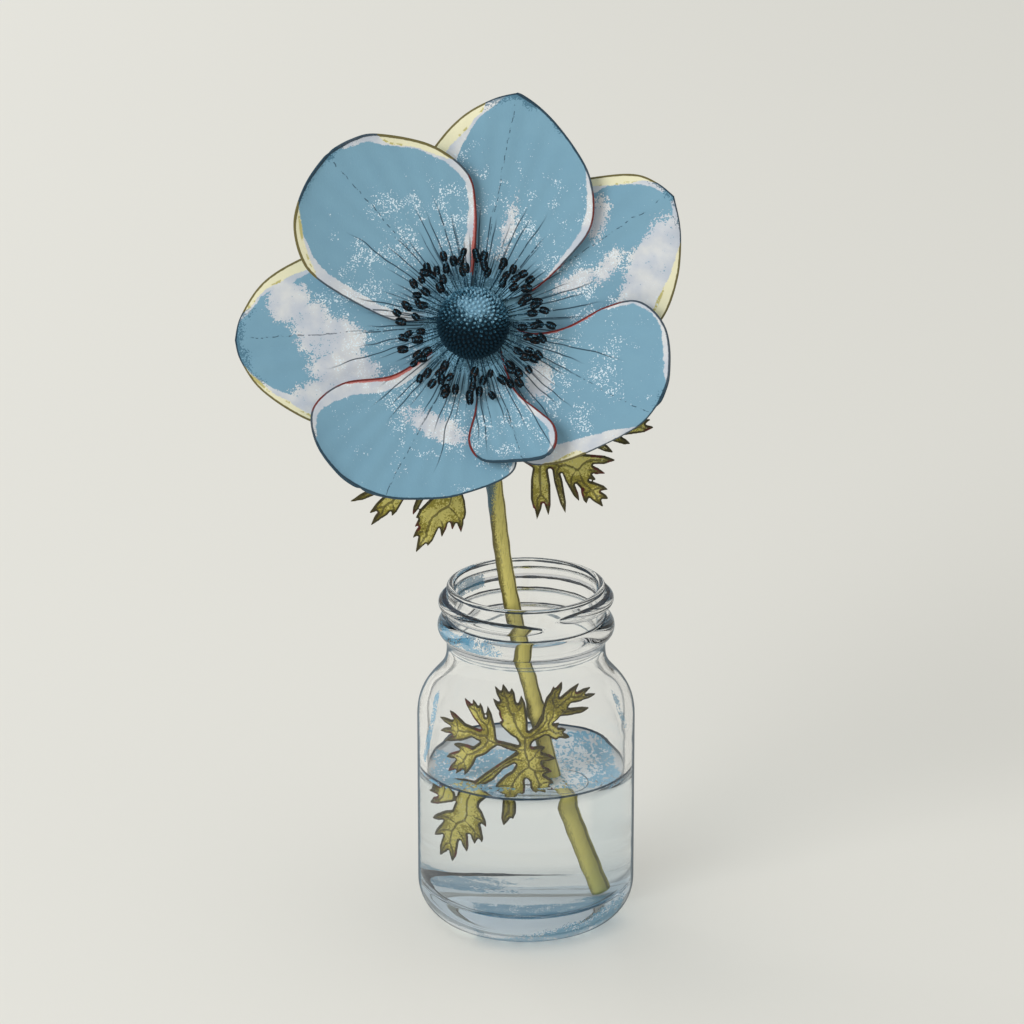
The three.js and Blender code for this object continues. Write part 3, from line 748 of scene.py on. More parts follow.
def spin_profile(bm, profile, steps):
    """Turns a profile of radius and height right round the Z axis."""
    verts = [bm.verts.new((radius, 0, height)) for radius, height in profile]
    edges = [bm.edges.new(pair) for pair in zip(verts, verts[1:])]
    turn = {"cent": (0, 0, 0), "axis": (0, 0, 1), "angle": 2 * math.pi}
    bmesh.ops.spin(bm, geom=verts + edges, **turn, steps=steps, use_merge=True)
    bmesh.ops.remove_doubles(bm, verts=bm.verts, dist=1e-4)
    bmesh.ops.recalc_face_normals(bm, faces=bm.faces)


def ring_frame(centre, direction, radius, side):
    """The matrix that puts a unit circle square across a route, and its own side direction."""
    across = (side - direction * side.dot(direction)).normalized()
    up = direction.cross(across)
    turn = Matrix((across, up, direction)).transposed().to_4x4()
    return Matrix.Translation(centre) @ turn @ Matrix.Diagonal((radius, radius, 1, 1)), across


def sweep(bm, route, radii, sides):
    """Extrudes a circle along a route, with a cap at each end."""
    ways = [(b - a).normalized() for a, b in zip(route, route[1:])]
    ways = [ways[0], *[(a + b).normalized() for a, b in zip(ways, ways[1:])], ways[-1]]
    place, side = ring_frame(route[0], ways[0], radii[0], Vector((1, 0, 0)))
    ring = bmesh.ops.create_circle(bm, radius=1, segments=sides, matrix=place)["verts"]
    edges = list({edge for vert in ring for edge in vert.link_edges})
    first = edges
    for centre, way, radius in list(zip(route, ways, radii))[1:]:
        step, side = ring_frame(centre, way, radius, side)
        grown = bmesh.ops.extrude_edge_only(bm, edges=edges)["geom"]
        verts = [item for item in grown if isinstance(item, bmesh.types.BMVert)]
        edges = [item for item in grown if isinstance(item, bmesh.types.BMEdge)]
        bmesh.ops.transform(bm, matrix=step @ place.inverted(), verts=verts)
        place = step
    for end in (first, edges):
        bmesh.ops.contextual_create(bm, geom=end)


def oval(bm, place, radii, segments, rings):
    """An oval ball at a place."""
    stand = place @ Matrix.Diagonal((*radii, 1))
    made = bmesh.ops.create_uvsphere(bm, u_segments=segments, v_segments=rings, radius=1, matrix=stand)
    return made["verts"]


# Jar


def shoulder(body, neck, steps):
    """The shoulder's curve from the body's side up to the neck, as a cubic Bezier."""
    low, high = SHOULDER
    handles = [(body, low), (body, low + SHOULDER_EASE[0]), (neck, high - SHOULDER_EASE[1]), (neck, high)]
    points = []
    for i in range(steps + 1):
        t = i / steps
        weights = [(1 - t) ** 3, 3 * t * (1 - t) ** 2, 3 * t * t * (1 - t), t**3]
        radius = sum(weight * handle[0] for weight, handle in zip(weights, handles))
        height = sum(weight * handle[1] for weight, handle in zip(weights, handles))
        points.append((radius, height))
    return points


def inner_shoulder(body, wall, steps):
    """The shoulder's inside, set in from its outside by the thickness of the glass."""
    outside = shoulder(body, NECK_RADIUS, steps)
    inside = []
    for i, (radius, height) in enumerate(outside):
        before, after = outside[max(0, i - 1)], outside[min(steps, i + 1)]
        along = Vector((after[0] - before[0], after[1] - before[1])).normalized()
        depth = wall + (NECK_RADIUS - MOUTH_RADIUS - wall) * i / steps
        inside.append((radius - depth * along.y, height + depth * along.x))
    return inside


def jar_profile(height, radius, wall):
    """Radius and height from the middle of the foot, up the outside, and down the inside to the floor."""
    inner = radius - wall
    heel = inner - FOOT_RADIUS
    depth = BEAD["radius"] - NECK_RADIUS
    thread_foot = BEAD["middle"] + BEAD["height"] / 2
    lip = [MOUTH_RADIUS + LIP_ROUND, NECK_RADIUS - LIP_ROUND]
    punt = (PUNT["radius"], PUNT["rise"])
    return [
        (0, PUNT["rise"]),
        punt,
        *line(punt, (PUNT["rim"], 0), 3),
        *arc((FOOT_RADIUS, HEEL_HEIGHT), (radius - FOOT_RADIUS, HEEL_HEIGHT), (-90, 0), 16),
        *line((radius, HEEL_HEIGHT), (radius, SHOULDER[0] - 1), 10),
        *shoulder(radius, NECK_RADIUS, SHOULDER_STEPS),
        *arc((NECK_RADIUS, BEAD["middle"]), (depth, BEAD["height"] / 2), (-90, 90), 18),
        *line((NECK_RADIUS, thread_foot), (NECK_RADIUS, height - LIP_ROUND), 56),
        *arc((lip[1], height - LIP_ROUND), (LIP_ROUND, LIP_ROUND), (0, 90), 6)[1:],
        *arc((lip[0], height - LIP_ROUND), (LIP_ROUND, LIP_ROUND), (90, 180), 6),
        *line((MOUTH_RADIUS, height - LIP_ROUND), (MOUTH_RADIUS, SHOULDER[1] + 1), 6),
        *reversed(inner_shoulder(radius, wall, SHOULDER_STEPS)),
        *line((inner, SHOULDER[0]), (inner, FLOOR_HEIGHT + heel), 10),
        *arc((FOOT_RADIUS, FLOOR_HEIGHT + heel), (heel, heel), (0, -90), 12)[1:],
        (0, FLOOR_HEIGHT - FLOOR_DIP),
    ]


def raise_thread(bm, height):
    """Swells the outside of the neck into one turn of thread, and notes how far its rim is."""
    start, end = THREAD["turns"]
    low = BEAD["middle"] + BEAD["height"] / 2
    rim = bm.verts.layers.float.new("thread")
    for vert in bm.verts:
        vert[rim] = FAR
    for vert in bm.verts:
        radius = math.hypot(vert.co.x, vert.co.y)
        if radius < NECK_RADIUS - 0.1 or not low < vert.co.z < height - LIP_ROUND + 0.01:
            continue
        turn = math.degrees(math.atan2(vert.co.y, vert.co.x))
        turn = turn if turn >= start else turn + 360
        from_end = min(turn - start, end - turn)
        if from_end <= 0:
            continue
        fade = math.sin(min(1, from_end / THREAD["fade"]) * math.pi / 2) ** 0.7
        share = (turn - start) / (end - start)
        middle = THREAD["heights"][0] + (THREAD["heights"][1] - THREAD["heights"][0]) * share
        half = THREAD["half"] * (THREAD["tip"] + (1 - THREAD["tip"]) * fade)
        away = abs(vert.co.z - middle) / half
        vert[rim] = (away - THREAD["line"]) * half
        if away < 1:
            swell = THREAD["depth"] * fade * (1 - away**2) ** 0.6
            vert.co.x *= 1 + swell / radius
            vert.co.y *= 1 + swell / radius


def glass_lines(finish, pen):
    """Painted shade: fine dark lines at the creases, and a broader one round the floor inside, in place
    of the dark edges that refraction gives. It is bolder at the back on the left, and leaves off on the
    right."""
    x, y, z = finish.axes()
    reach = distance(x, y)
    width = 0.17 + pen * 0.3
    lines = (abs(finish.field("thread")) - width).fade(-0.04, 0.05)
    for radius, height, strength in GLASS_LINES:
        away = distance(reach - radius, z - height)
        lines = lines.at_least((away - width).fade(-0.04, 0.05) * strength)
    bold = zone(x, -16.0, -4.0, 5.0) * y.ramp(-2.0, 2.0) * 0.5
    # Painted shade line round the floor inside
    floor_shade_line = (abs(reach - FLOOR_LINE) - 0.3 - bold - pen * 0.5).fade(-0.06, 0.08)
    floor_shade_line = floor_shade_line * zone(z, *FLOOR_BAND, 0.4) * (1 - zone(x, 6.0, 30.0, 3.0) * y.ramp(-4.0, 0.0))
    return lines.at_least(floor_shade_line)


def glass_reflection_zones(finish):
    """Where the painted blue reflection lies: on the bead, the mouth, both flanks, the foot and the floor
    inside.
    """
    x, y, z = finish.axes()
    reach = distance(x, y)
    front = y.fade(-4.0, 0.0)
    bead = zone(z, 63.9, 66.0, 0.5) * zone(x, -17.0, -8.0, 5.0) * front * 0.9
    mouth = zone(z, 68.3, 71.0, 0.5) * zone(x, -13.6, -9.0, 1.0)
    mouth = mouth * y.ramp(-1.0, 1.0) * reach.fade(15.2, 15.5)
    left = (abs(x + 20.0 - (z - 43.5) * 0.19) - 0.3).fade(0.0, 0.4) * zone(z, 38.0, 56.0, 2.0) * 0.95
    right = (abs(x - 19.0 + (z - 50.0) * 0.35) - 0.3).fade(0.0, 0.4) * zone(z, 46.0, 54.5, 2.0) * 0.8
    flanks = left.at_least(right) * y.fade(-9.0, -6.5)
    foot = (z - x * 0.25).fade(2.5, 5.5) * zone(x, -9.0, 19.0, 3.0) * front
    far = x.ramp(-19.0, -16.0) * x.fade(-9.0, 7.0) * zone(y, 3.0, 13.0, 2.0)
    near = zone(x, -8.0, 13.0, 3.0) * zone(y, -15.0, -7.0, 2.0)
    floor = far.at_least(near) * zone(z, *FLOOR_BAND, 0.4) * reach.fade(19.5, 20.3)
    return most(bead, mouth, flanks, foot, floor)


def glass_finish(settings):
    """Clear glass with painted shade as fine dark lines at its edges and creases, a broken painted blue
    reflection on its curves, and painted light that makes its base and underside pale.
    """
    finish = Finish("jar_glass")
    x, y, z = finish.axes()
    reach = distance(x, y)
    pen = finish.grain(0.35, 1.0)
    ragged = finish.grain(3.0, 1.0) * 1.5 + finish.grain(0.35, 3.0) * 1.5
    # Painted shade: the glass is darkened where it is seen edge on, in place of the dark edges that
    # refraction gives
    edge_on = finish.node("LayerWeight", {}, {"Blend": 0.5}, "Facing")
    silhouette = (edge_on + pen * 0.06).ramp(0.77, 0.85) * z.ramp(0.8, 2.0)
    silhouette = silhouette * (reach.ramp(17.0, 19.0) + z.ramp(9.0, 12.0)).at_most(1.0)
    silhouette = silhouette * (1 - zone(z, 61.5, 72.0, 1.0) * 0.5)
    lines = glass_lines(finish, pen)
    reflection_zones = glass_reflection_zones(finish)
    # Painted reflection: broken blue on the curves, and a blue stipple at the front of the foot
    blue_reflection = (reflection_zones + ragged - 0.7).ramp(0.0, 0.12) * reflection_zones.ramp(0.1, 0.3)
    crescent = zone(y, -18.5, -9.0, 1.5) * zone(x, -9.0, 13.0, 4.0)
    stipple = (crescent + ragged - 0.7).ramp(0.0, 0.12) * crescent.ramp(0.1, 0.3)
    # Painted light: the base below the floor is pale, where it would show the shaded floor under the jar
    pale = z.fade(6.0, 8.0) * (1 - stipple.at_least(blue_reflection))
    ink = finish.mix((pen + 0.1).ramp(0.0, 0.2), settings.edge, GLASS_EDGE_SHADE)
    colour = finish.coats(GLASS_REFLECTION_BLUE, (pale, GLASS_PAINTED_LIGHT), (lines.at_least(silhouette * 0.8), ink))
    # Painted light: a faint pale veil over the base, and a near full cover of the underside
    painted_light_veil = z.fade(2.0, 7.5) * 0.35
    cover = most(lines * 0.92, blue_reflection * 0.68, silhouette * 0.85, z.fade(0.7, 1.0) * 0.96, painted_light_veil)
    # Painted shade: the clear glass takes the dark edge colour at its silhouettes
    tint = finish.mix(silhouette, settings.tint, settings.edge)
    return finish.surface(
        {"Base Color": tint, "Normal": finish.bump(finish.grain(0.12, 1.0), depth=0.25, strength=0.25)},
        {"Roughness": 0.015, "IOR": 1.4, "Transmission Weight": 1.0, "Specular IOR Level": 0.5},
        paint=(cover, colour),
        shadow=(0.965, 0.975, 0.98),
    )


class BuildJar(bpy.types.Operator):
    """Spin the jar's profile and swell the thread on its neck"""

    bl_idname = "anemone.build_jar"
    bl_label = "Build the jar"

    def execute(self, context):
        settings = context.scene.anemone_jar
        height = settings.height / MM
        bm = bmesh.new()
        profile = jar_profile(height, settings.radius / MM, settings.wall / MM)
        spin_profile(bm, profile, STEPS_ROUND["jar"])
        raise_thread(bm, height)
        add_piece("glass_jar", to_mesh(bm, "glass_jar"), glass_finish(settings), "jar_glass", "jar")
        return {"FINISHED"}


# Water


def water_profile(level, inner):
    """The water's own outside: a hair past the inside of the glass, so that no film of air shows.
    The surface's rings crowd towards the glass, where it curves."""
    radius = inner + WATER_OVERLAP
    heel = inner - FOOT_RADIUS
    curve = heel + WATER_OVERLAP
    rings = 40
    surface = [(radius * (i / rings) ** 0.8, level) for i in reversed(range(rings))]
    return [
        (0, FLOOR_HEIGHT - FLOOR_DIP - WATER_OVERLAP),
        *arc((FOOT_RADIUS, FLOOR_HEIGHT + heel), (curve, curve), (-90, 0), 12),
        *line((radius, FLOOR_HEIGHT + heel), (radius, level), 12),
        *surface,
    ]


def lift_meniscus(bm, level, radius):
    """Draws the surface up where it meets the glass and the stem."""
    for vert in bm.verts:
        if vert.co.z < level - 0.01:
            continue
        wall = radius - math.hypot(vert.co.x, vert.co.y)
        stem = max(0.0, math.hypot(vert.co.x - STEM_DIP[0], vert.co.y - STEM_DIP[1]) - STEM_RADIUS)
        vert.co.z += MENISCUS["height"] * math.exp(-wall / MENISCUS["reach"])
        vert.co.z += MENISCUS["stem_height"] * math.exp(-stem / MENISCUS["stem_reach"])


def water_finish(settings):
    """Water with a painted reflection on its surface, broken blue with pale specks, a ripple painted as a
    dark ring, and a painted shade line where it meets the glass.
    """
    finish = Finish("water")
    x, y, z = finish.axes()
    level = settings.level / MM
    reach = distance(x, y)
    surface = z.ramp(level - 0.3, level - 0.05)
    pen = finish.grain(0.25, 1.0)
    fine = finish.grain(1.5, 2.0, (1.0, 0.5, 1.0))
    broad = finish.grain(0.2, 3.0, (1.0, 0.7, 1.0))
    # Painted reflection: the blue zones of the surface, and the pale specks of glints
    left = zone(x, -18.5, -3.0, 2.5) * zone(y, -13.0, 5.0, 4.0)
    right = zone(x, 3.5, 18.0, 2.0) * zone(y, -12.0, 14.0, 3.0) * reach.ramp(5.0, 9.0)
    sky = left.at_least(right)
    blue_reflection = (sky * 1.05 + fine * 2.4 + broad * 2.2 - 0.7).ramp(0.0, 0.14) * surface * sky.ramp(0.1, 0.3)
    calm = reach.ramp(6.0, 9.0) * reach.fade(14.0, 17.0) * x.ramp(2.0, 6.0)
    sparkle = (finish.grain(1.6, 3.0, (1.0, 0.6, 1.0)) + broad * 0.6 + calm * 0.16).ramp(0.13, 0.18)
    # Painted shade: a dark line where the surface meets the glass, and a ripple painted as a dark ring
    # with no relief
    ring = z.ramp(level + 0.4, level + 0.5 + pen * 0.3) * reach.ramp(20.2, 20.3)
    from_ripple = distance(x - RIPPLE["middle"][0], (y - RIPPLE["middle"][1]) * RIPPLE["squash"])
    ripple = (abs(from_ripple - RIPPLE["radius"]) - 0.1 - pen * 0.3).fade(-0.05, 0.06) * x.ramp(6.0, 8.0)
    lines = ring.at_least(surface * ripple * 0.9)
    pale = sparkle.at_least(surface * (1 - blue_reflection))
    # Painted reflection: the front of the surface is covered in the pale and blue paint
    film = surface * y.ramp(-13.0, -3.0) * (0.45 + right * 0.15)
    side = zone(x, 14.0, 18.5, 2.5) * (1 - surface)
    return finish.surface(
        {"Base Color": finish.mix(side * 0.5, settings.tint, WATER_SIDE)},
        {"Roughness": 0.0, "IOR": 1.333, "Transmission Weight": 1.0},
        paint=(
            most(film, blue_reflection * 0.8, lines * 0.85),
            finish.coats(settings.blue_reflection, (pale, WATER_PALE_REFLECTION), (lines, WATER_SHADE_LINE)),
        ),
        shadow=(0.98, 0.985, 0.99),
    )


class BuildWater(bpy.types.Operator):
    """Fill the jar, with the surface drawn up at the glass and at the stem"""

    bl_idname = "anemone.build_water"
    bl_label = "Build the water"

    def execute(self, context):
        settings = context.scene.anemone_water
        jar = context.scene.anemone_jar
        inner = (jar.radius - jar.wall) / MM
        level = settings.level / MM
        bm = bmesh.new()
        spin_profile(bm, water_profile(level, inner), STEPS_ROUND["water"])
        lift_meniscus(bm, level, inner)
        add_piece("water_fill", to_mesh(bm, "water_fill"), water_finish(settings), "water", "water")
        return {"FINISHED"}


# Stem


def stem_radii(route, radius):
    """The stem's radius all along: a little uneven, and swollen where leaves join it."""
    radii = []
    quick, slow = STEM_UNEVEN["waves"]
    for i, place in enumerate(route):
        swell = radius * (1 + STEM_UNEVEN["share"] * math.sin(quick * i) * math.sin(slow * i))
        for height, half_length, growth in STEM_NODES:
            swell += growth * math.exp(-(((place.z - height) / half_length) ** 2))
        radii.append(swell)
    return radii


def stem_finish(settings):
    """Olive skin with painted shade on one side, fine fibres, a dark rib down each flank and a blue patch
    high on the left, and painted light that makes it paler inside the jar and paler still under the
    water.
    """
    finish = Finish("stem_skin")
    z = finish.axes()[2]
    side = finish.field("side")
    back = finish.field("back")
    fibre = finish.grain(3.2, 2.0, (1.0, 1.0, 0.12))
    speck = finish.grain(4.5, 1.0)
    cloud = finish.grain(0.25, 3.0, (1.0, 1.0, 0.4))
    # Painted shade: the left side is stippled darker, and darker still towards its edge
    shade = (0.1 - side * 1.1 + back * 0.4 + speck * 1.6 + cloud * 1.1 - 0.35).ramp(0.0, 0.18)
    dark_side = (-0.36 - side + speck * 1.5 + cloud * 0.8).ramp(0.0, 0.12)
    rib = zone(abs(side) + speck * 0.12, 0.84, 0.94, 0.04)
    # Dark blue high on the left flank, just below the bracts
    rise = ((z - 95.6) * 0.13).at_most(0.8) - z.ramp(101.0, 113.0) * 2.2
    tinge = (rise - (side * 0.9).at_least(-0.7) + speck * 1.8).ramp(0.4, 0.6)
    # Painted light: the stem is paler inside the jar, and paler still under the water, where the glass
    # would dim it
    inside = z.fade(62.0, 70.0)
    clear = inside * (0.45 + z.fade(32.0, 34.0) * 0.25 - rib * 0.4 - dark_side * 0.3).at_least(0.0)
    colour = finish.coats(
        settings.light,
        (0.35 + inside * 0.25, SUNLIT_STEM),
        (shade, settings.middle),
        ((fibre + 0.1).ramp(0.1, 0.3) * 0.3, settings.deep),
        (dark_side * 0.75, settings.deep),
        (rib * 0.85, settings.deep),
        (tinge * 0.85, STEM_TOP_BLUE),
        ((speck + cloud * 0.4).ramp(0.2, 0.24) * 0.5, GREEN_FLECK),
        (clear, STEM_PAINTED_LIGHT),
    )
    normal = finish.bump(fibre * 0.7 + speck * 0.3, depth=0.12, strength=0.7)
    return finish.surface(
        {"Base Color": colour, "Roughness": 0.55 + fibre * 0.3, "Normal": normal},
        {"Specular IOR Level": 0.35},
    )


class BuildStem(bpy.types.Operator):
    """Sweep the stem from the water up to the receptacle behind the petals"""

    bl_idname = "anemone.build_stem"
    bl_label = "Build the stem"

    def execute(self, context):
        settings = context.scene.anemone_green
        route = spread(spline(STEM_ROUTE, ease=0.25), STEM_STEPS)[:-STEM_OVERRUN]
        radii = stem_radii(route, settings.stem_radius / MM)
        for height, radius in RECEPTACLE:
            route.append(BLOOM @ Vector((0, 0, height)))
            radii.append(radius)
        bm = bmesh.new()
        sweep(bm, route, radii, STEM_SIDES)
        bmesh.ops.recalc_face_normals(bm, faces=bm.faces)
        bm.normal_update()
        write_field(bm, "side", [vert.normal.x for vert in bm.verts])
        write_field(bm, "back", [vert.normal.y for vert in bm.verts])
        add_piece("flower_stem", to_mesh(bm, "flower_stem"), stem_finish(settings), "stem", "stem")
        return {"FINISHED"}


# Divided leaves, refined from the frame's own leaves


def refined_mesh(node, name):
    """A fine, soft-edged copy of a CAD leaf's mesh, in metres."""
    bm = bmesh.new()
    bm.from_mesh(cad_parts[node].data)
    bmesh.ops.remove_doubles(bm, verts=bm.verts, dist=1e-6)
    rough = bpy.data.meshes.new(name + "_rough")
    bm.to_mesh(rough)
    bm.free()
    helper = bpy.data.objects.new(name + "_rough", rough)
    bpy.context.scene.collection.objects.link(helper)
    remesh = helper.modifiers.new("Remesh", "REMESH")
    remesh.mode = "VOXEL"
    remesh.voxel_size = LEAF_VOXEL * MM
    smooth = helper.modifiers.new("Smooth", "SMOOTH")
    smooth.factor = 0.5
    smooth.iterations = 4
    graph = bpy.context.evaluated_depsgraph_get()
    mesh = bpy.data.meshes.new_from_object(helper.evaluated_get(graph), depsgraph=graph)
    bpy.data.objects.remove(helper)
    bpy.data.meshes.remove(rough)
    mesh.name = name
    return mesh


def leaf_fields(bm, facing):
    """Gives each point its distance from the leaf's edge and how near it lies to a rib.
    The ribs are creased."""
    bm.normal_update()
    bm.verts.ensure_lookup_table()
    rims = [vert for vert in bm.verts if abs(vert.normal.dot(facing(vert.co))) < RIM_FACING]
    tree = kdtree.KDTree(len(rims))
    for index, vert in enumerate(rims):
        tree.insert(vert.co, index)
    tree.balance()
    near = [tree.find(vert.co) for vert in bm.verts]
    ways = [(vert.co - found[0]).normalized() for vert, found in zip(bm.verts, near)]
    meet = []
    for vert, way in zip(bm.verts, ways):
        others = [ways[edge.other_vert(vert).index] for edge in vert.link_edges]
        meet.append(max(0.0, 1 - min(way.dot(other) for other in others)))
    for _ in range(2):
        meet = [
            0.5 * own + 0.5 * sum(meet[e.other_vert(v).index] for e in v.link_edges) / len(v.link_edges)
            for v, own in zip(bm.verts, meet)
        ]
    depths = [found[2] / MM for found in near]
    inside = [min(1.0, max(0.0, depth - RIB["starts"]) / RIB["eases"]) for depth in depths]
    ribs = [min(1.0, own) * share for own, share in zip(meet, inside)]
    write_field(bm, "rim", depths)
    write_field(bm, "rib", ribs)
    for vert, rib in zip(bm.verts, ribs):
        vert.co -= vert.normal * RIB["crease"] * MM * rib


def leaf_finish(settings, name, darkness, lift):
    """Olive blade with stippled shade, deep ribs, dark rims and reddish tips.
    Lift makes its greens paler."""
    finish = Finish(name)
    rim = finish.field("rim")
    rib = finish.field("rib")
    speck = finish.grain(2.8, 1.0)
    cloud = finish.grain(0.22, 2.0)
    fibre = finish.grain(1.4, 2.0)
    shade = speck * 2.4 + cloud * 3.0 + darkness - (rim - 0.5) * 0.35
    outline = (rim + speck * 0.25).fade(0.36, 0.56)
    tips = outline * (finish.grain(0.35, 1.0) + 0.02).ramp(0.1, 0.2)
    gleam = (speck - cloud * 0.6).ramp(0.2, 0.24) * rim.ramp(0.3, 0.5)
    colour = finish.coats(
        settings.light,
        (lift, SUNLIT_LEAF),
        (shade.ramp(-0.04, 0.08), finish.mix(lift * 0.5, settings.middle, LIFTED_LEAF)),
        ((shade - 0.7).ramp(0.0, 0.1) * 0.7, settings.deep),
        ((rib + speck * 0.3).ramp(0.3, 0.6) * 0.75, settings.deep),
        (outline * 0.95, LEAF_INK),
        (tips * 0.8, LEAF_TIPS),
        (gleam * 0.55, GREEN_FLECK),
    )
    normal = finish.bump(fibre * 0.6 + speck * 0.25 - rib * 0.8, depth=0.14, strength=0.8)
    return finish.surface(
        {"Base Color": colour, "Roughness": 0.5 + speck * 0.3, "Normal": normal},
        {"Specular IOR Level": 0.4},
    )


def build_leaf(node, name, facing, finish, tucks=()):
    """Adds the refined leaf of a node. Tucks draw up teeth that hang below a height."""
    bm = bmesh.new()
    bm.from_mesh(refined_mesh(node, name))
    for (low, high), height in tucks:
        for vert in bm.verts:
            if low * MM < vert.co.x < high * MM and vert.co.z < height * MM:
                vert.co.z = height * MM - TUCK_LEFT * (height * MM - vert.co.z)
    leaf_fields(bm, facing)
    add_piece(name, to_mesh(bm, name, 1.0), finish, "foliage", node)


def stem_leaf_facing(place):
    """The stem leaf's sheet curves to follow the glass."""
    return Vector((-2 * LEAF_HUG * place.x / MM, 1.0, 0.0)).normalized()


class BuildStemLeaf(bpy.types.Operator):
    """Refine the divided leaf that stands in the jar"""

    bl_idname = "anemone.build_stem_leaf"
    bl_label = "Build the stem leaf"

    def execute(self, context):
        settings = context.scene.anemone_green
        finish = leaf_finish(settings, "leaf_blade", darkness=0.34, lift=0.6)
        build_leaf("stem_leaf", "divided_leaf", stem_leaf_facing, finish, LEAF_TUCKS)
        return {"FINISHED"}


class BuildBracts(bpy.types.Operator):
    """Refine the three bracts of the whorl behind the bloom"""

    bl_idname = "anemone.build_bracts"
    bl_label = "Build the bracts"

    def execute(self, context):
        settings = context.scene.anemone_green
        finish = leaf_finish(settings, "bract_blade", darkness=0.16, lift=0.3)
        for node, facing in BRACTS.items():
            way = facing.normalized()
            build_leaf(node, node + "_blade", lambda place, way=way: way, finish)
        return {"FINISHED"}


# Petals


def petal_sides(petal):
    """The two side curves from the root to the tip, as evenly spaced points."""
    sides = {}
    for side, sign in (("left", 1), ("right", -1)):
        root = (PETAL_ROOT, sign * PETAL_ROOT_WIDTH / 2)
        curve = spline([root, *petal[side], petal["tip"]], steps=24)
        sides[side] = spread(curve, SIDE_POINTS)
    return sides


def petal_height(petal, along, across, side, share):
    """How far a point of the petal's front stands off the bloom's plane.
    Side runs from -1 to 1 across the petal, and share from 0 at the root to 1 at the tip."""
    grown = min(1.0, max(0.0, along - PETAL_ROOT) / CURL_REACH) * (1 - share**8)
    spoke = math.degrees(math.atan2(across, along))
    inside = max(0.0, 1 - abs(side) ** 4)
    curl = (petal["curl"][0] if side > 0 else petal["curl"][1]) * EDGE_CURL * abs(side) ** 3
    flute = FLUTE["height"] * math.cos(2 * math.pi * spoke / FLUTE["degrees"]) * inside
    ruffle = RUFFLE["height"] * math.sin(RUFFLE["waves"] * along + petal["turn"]) * abs(side) ** 4
    bowl = petal["bowl"] * (math.hypot(along, across) / BOWL_REACH) ** 2
    return petal["level"] * LEVEL_STEP + PETAL_FRONT + bowl + (curl + flute + ruffle) * grown


def band_field(bands, sides, points):
    """How far inside a band each point lies, in millimetres: below zero is outside."""
    field = np.full(len(points), -FAR)
    for side, widths in bands:
        line_points = np.array([tuple(point) for point in sides[side]])
        gaps = np.linalg.norm(points[:, None, :] - line_points[None, :, :], axis=2)
        nearest = gaps.argmin(axis=1)
        reach = line_points[nearest, 0]
        width = np.interp(reach, *zip(*widths), left=-FAR, right=-FAR)
        field = np.maximum(field, width - gaps.min(axis=1))
    return field


def patch_field(patches, points):
    """How far inside an oval patch each point lies, in millimetres."""
    field = np.full(len(points), -FAR)
    for reach, offset, long_half, wide_half, turn in patches:
        c, s = math.cos(math.radians(turn)), math.sin(math.radians(turn))
        x, y = points[:, 0] - reach, points[:, 1] - offset
        u, v = (x * c + y * s) / long_half, (y * c - x * s) / wide_half
        field = np.maximum(field, (1 - np.hypot(u, v)) * min(long_half, wide_half))
    return field


def petal_mesh(name, petal):
    """A grid drawn out between the petal's sides, with its colour fields and its spokes as a UV map."""
    sides = petal_sides(petal)
    bm = bmesh.new()
    bmesh.ops.create_grid(bm, x_segments=PETAL_GRID["across"], y_segments=PETAL_GRID["along"], size=0.5)
    count = len(sides["left"]) - 1
    flat = []
    for vert in bm.verts:
        side = 2 * vert.co.x
        row = round((vert.co.y + 0.5) * count)
        point = sides["right"][row].lerp(sides["left"][row], (side + 1) / 2)
        flat.append((point.x, point.y))
        vert.co = (point.x, point.y, petal_height(petal, point.x, point.y, side, row / count))
    points = np.array(flat)
    everywhere = [(-100, 0), (100, 0)]
    fields = {
        "rim": -band_field([("left", everywhere), ("right", everywhere)], sides, points),
        "pale": band_field(petal["pale"], sides, points),
        "patch": patch_field(petal["patches"], points),
        "cream": band_field(petal["cream"], sides, points),
        "rose": band_field(petal["rose"], sides, points),
    }
    for key, values in fields.items():
        write_field(bm, key, values)
    spokes = bm.loops.layers.uv.new("spokes")
    for face in bm.faces:
        for loop in face.loops:
            place = loop.vert.co
            loop[spokes].uv = (math.degrees(math.atan2(place.y, place.x)), math.hypot(place.x, place.y))
    bmesh.ops.remove_doubles(bm, verts=bm.verts, dist=1e-3)
    stand = BLOOM @ Matrix.Rotation(math.radians(petal["turn"]), 4, "Z")
    bmesh.ops.transform(bm, matrix=stand, verts=bm.verts)
    front = (stand.to_3x3() @ Vector((0, 0, 1))).normalized()
    if sum((face.normal.dot(front) for face in bm.faces), 0.0) < 0:
        bmesh.ops.reverse_faces(bm, faces=bm.faces)
    return to_mesh(bm, name)


def vein_lines(finish, spoke, reach, degrees, salt, width, longest):
    """Fine lines that fan out from the middle, each with its own length and breaks."""
    wander = finish.grain(0.16, 1.0) * (reach * 0.035)
    turn = spoke / degrees + wander + salt * 0.37
    cell = turn.floor()
    own = finish.chance(cell, salt)
    place = (own - 0.5) * 0.5
    away = abs(turn - cell - 0.5 - place) * degrees * reach * math.radians(1)
    length = VEIN["shortest"] + finish.chance(cell, salt + 31.0) * longest
    taper = (1 - reach / length).at_least(0.0)
    broken = (finish.grain(1.1, 1.0) + own * 0.25).ramp(-0.2, -0.08)
    start = reach.ramp(*VEIN["starts"])
    return away.fade(width * 0.45, width) * taper.ramp(0.0, 0.2) * broken * start


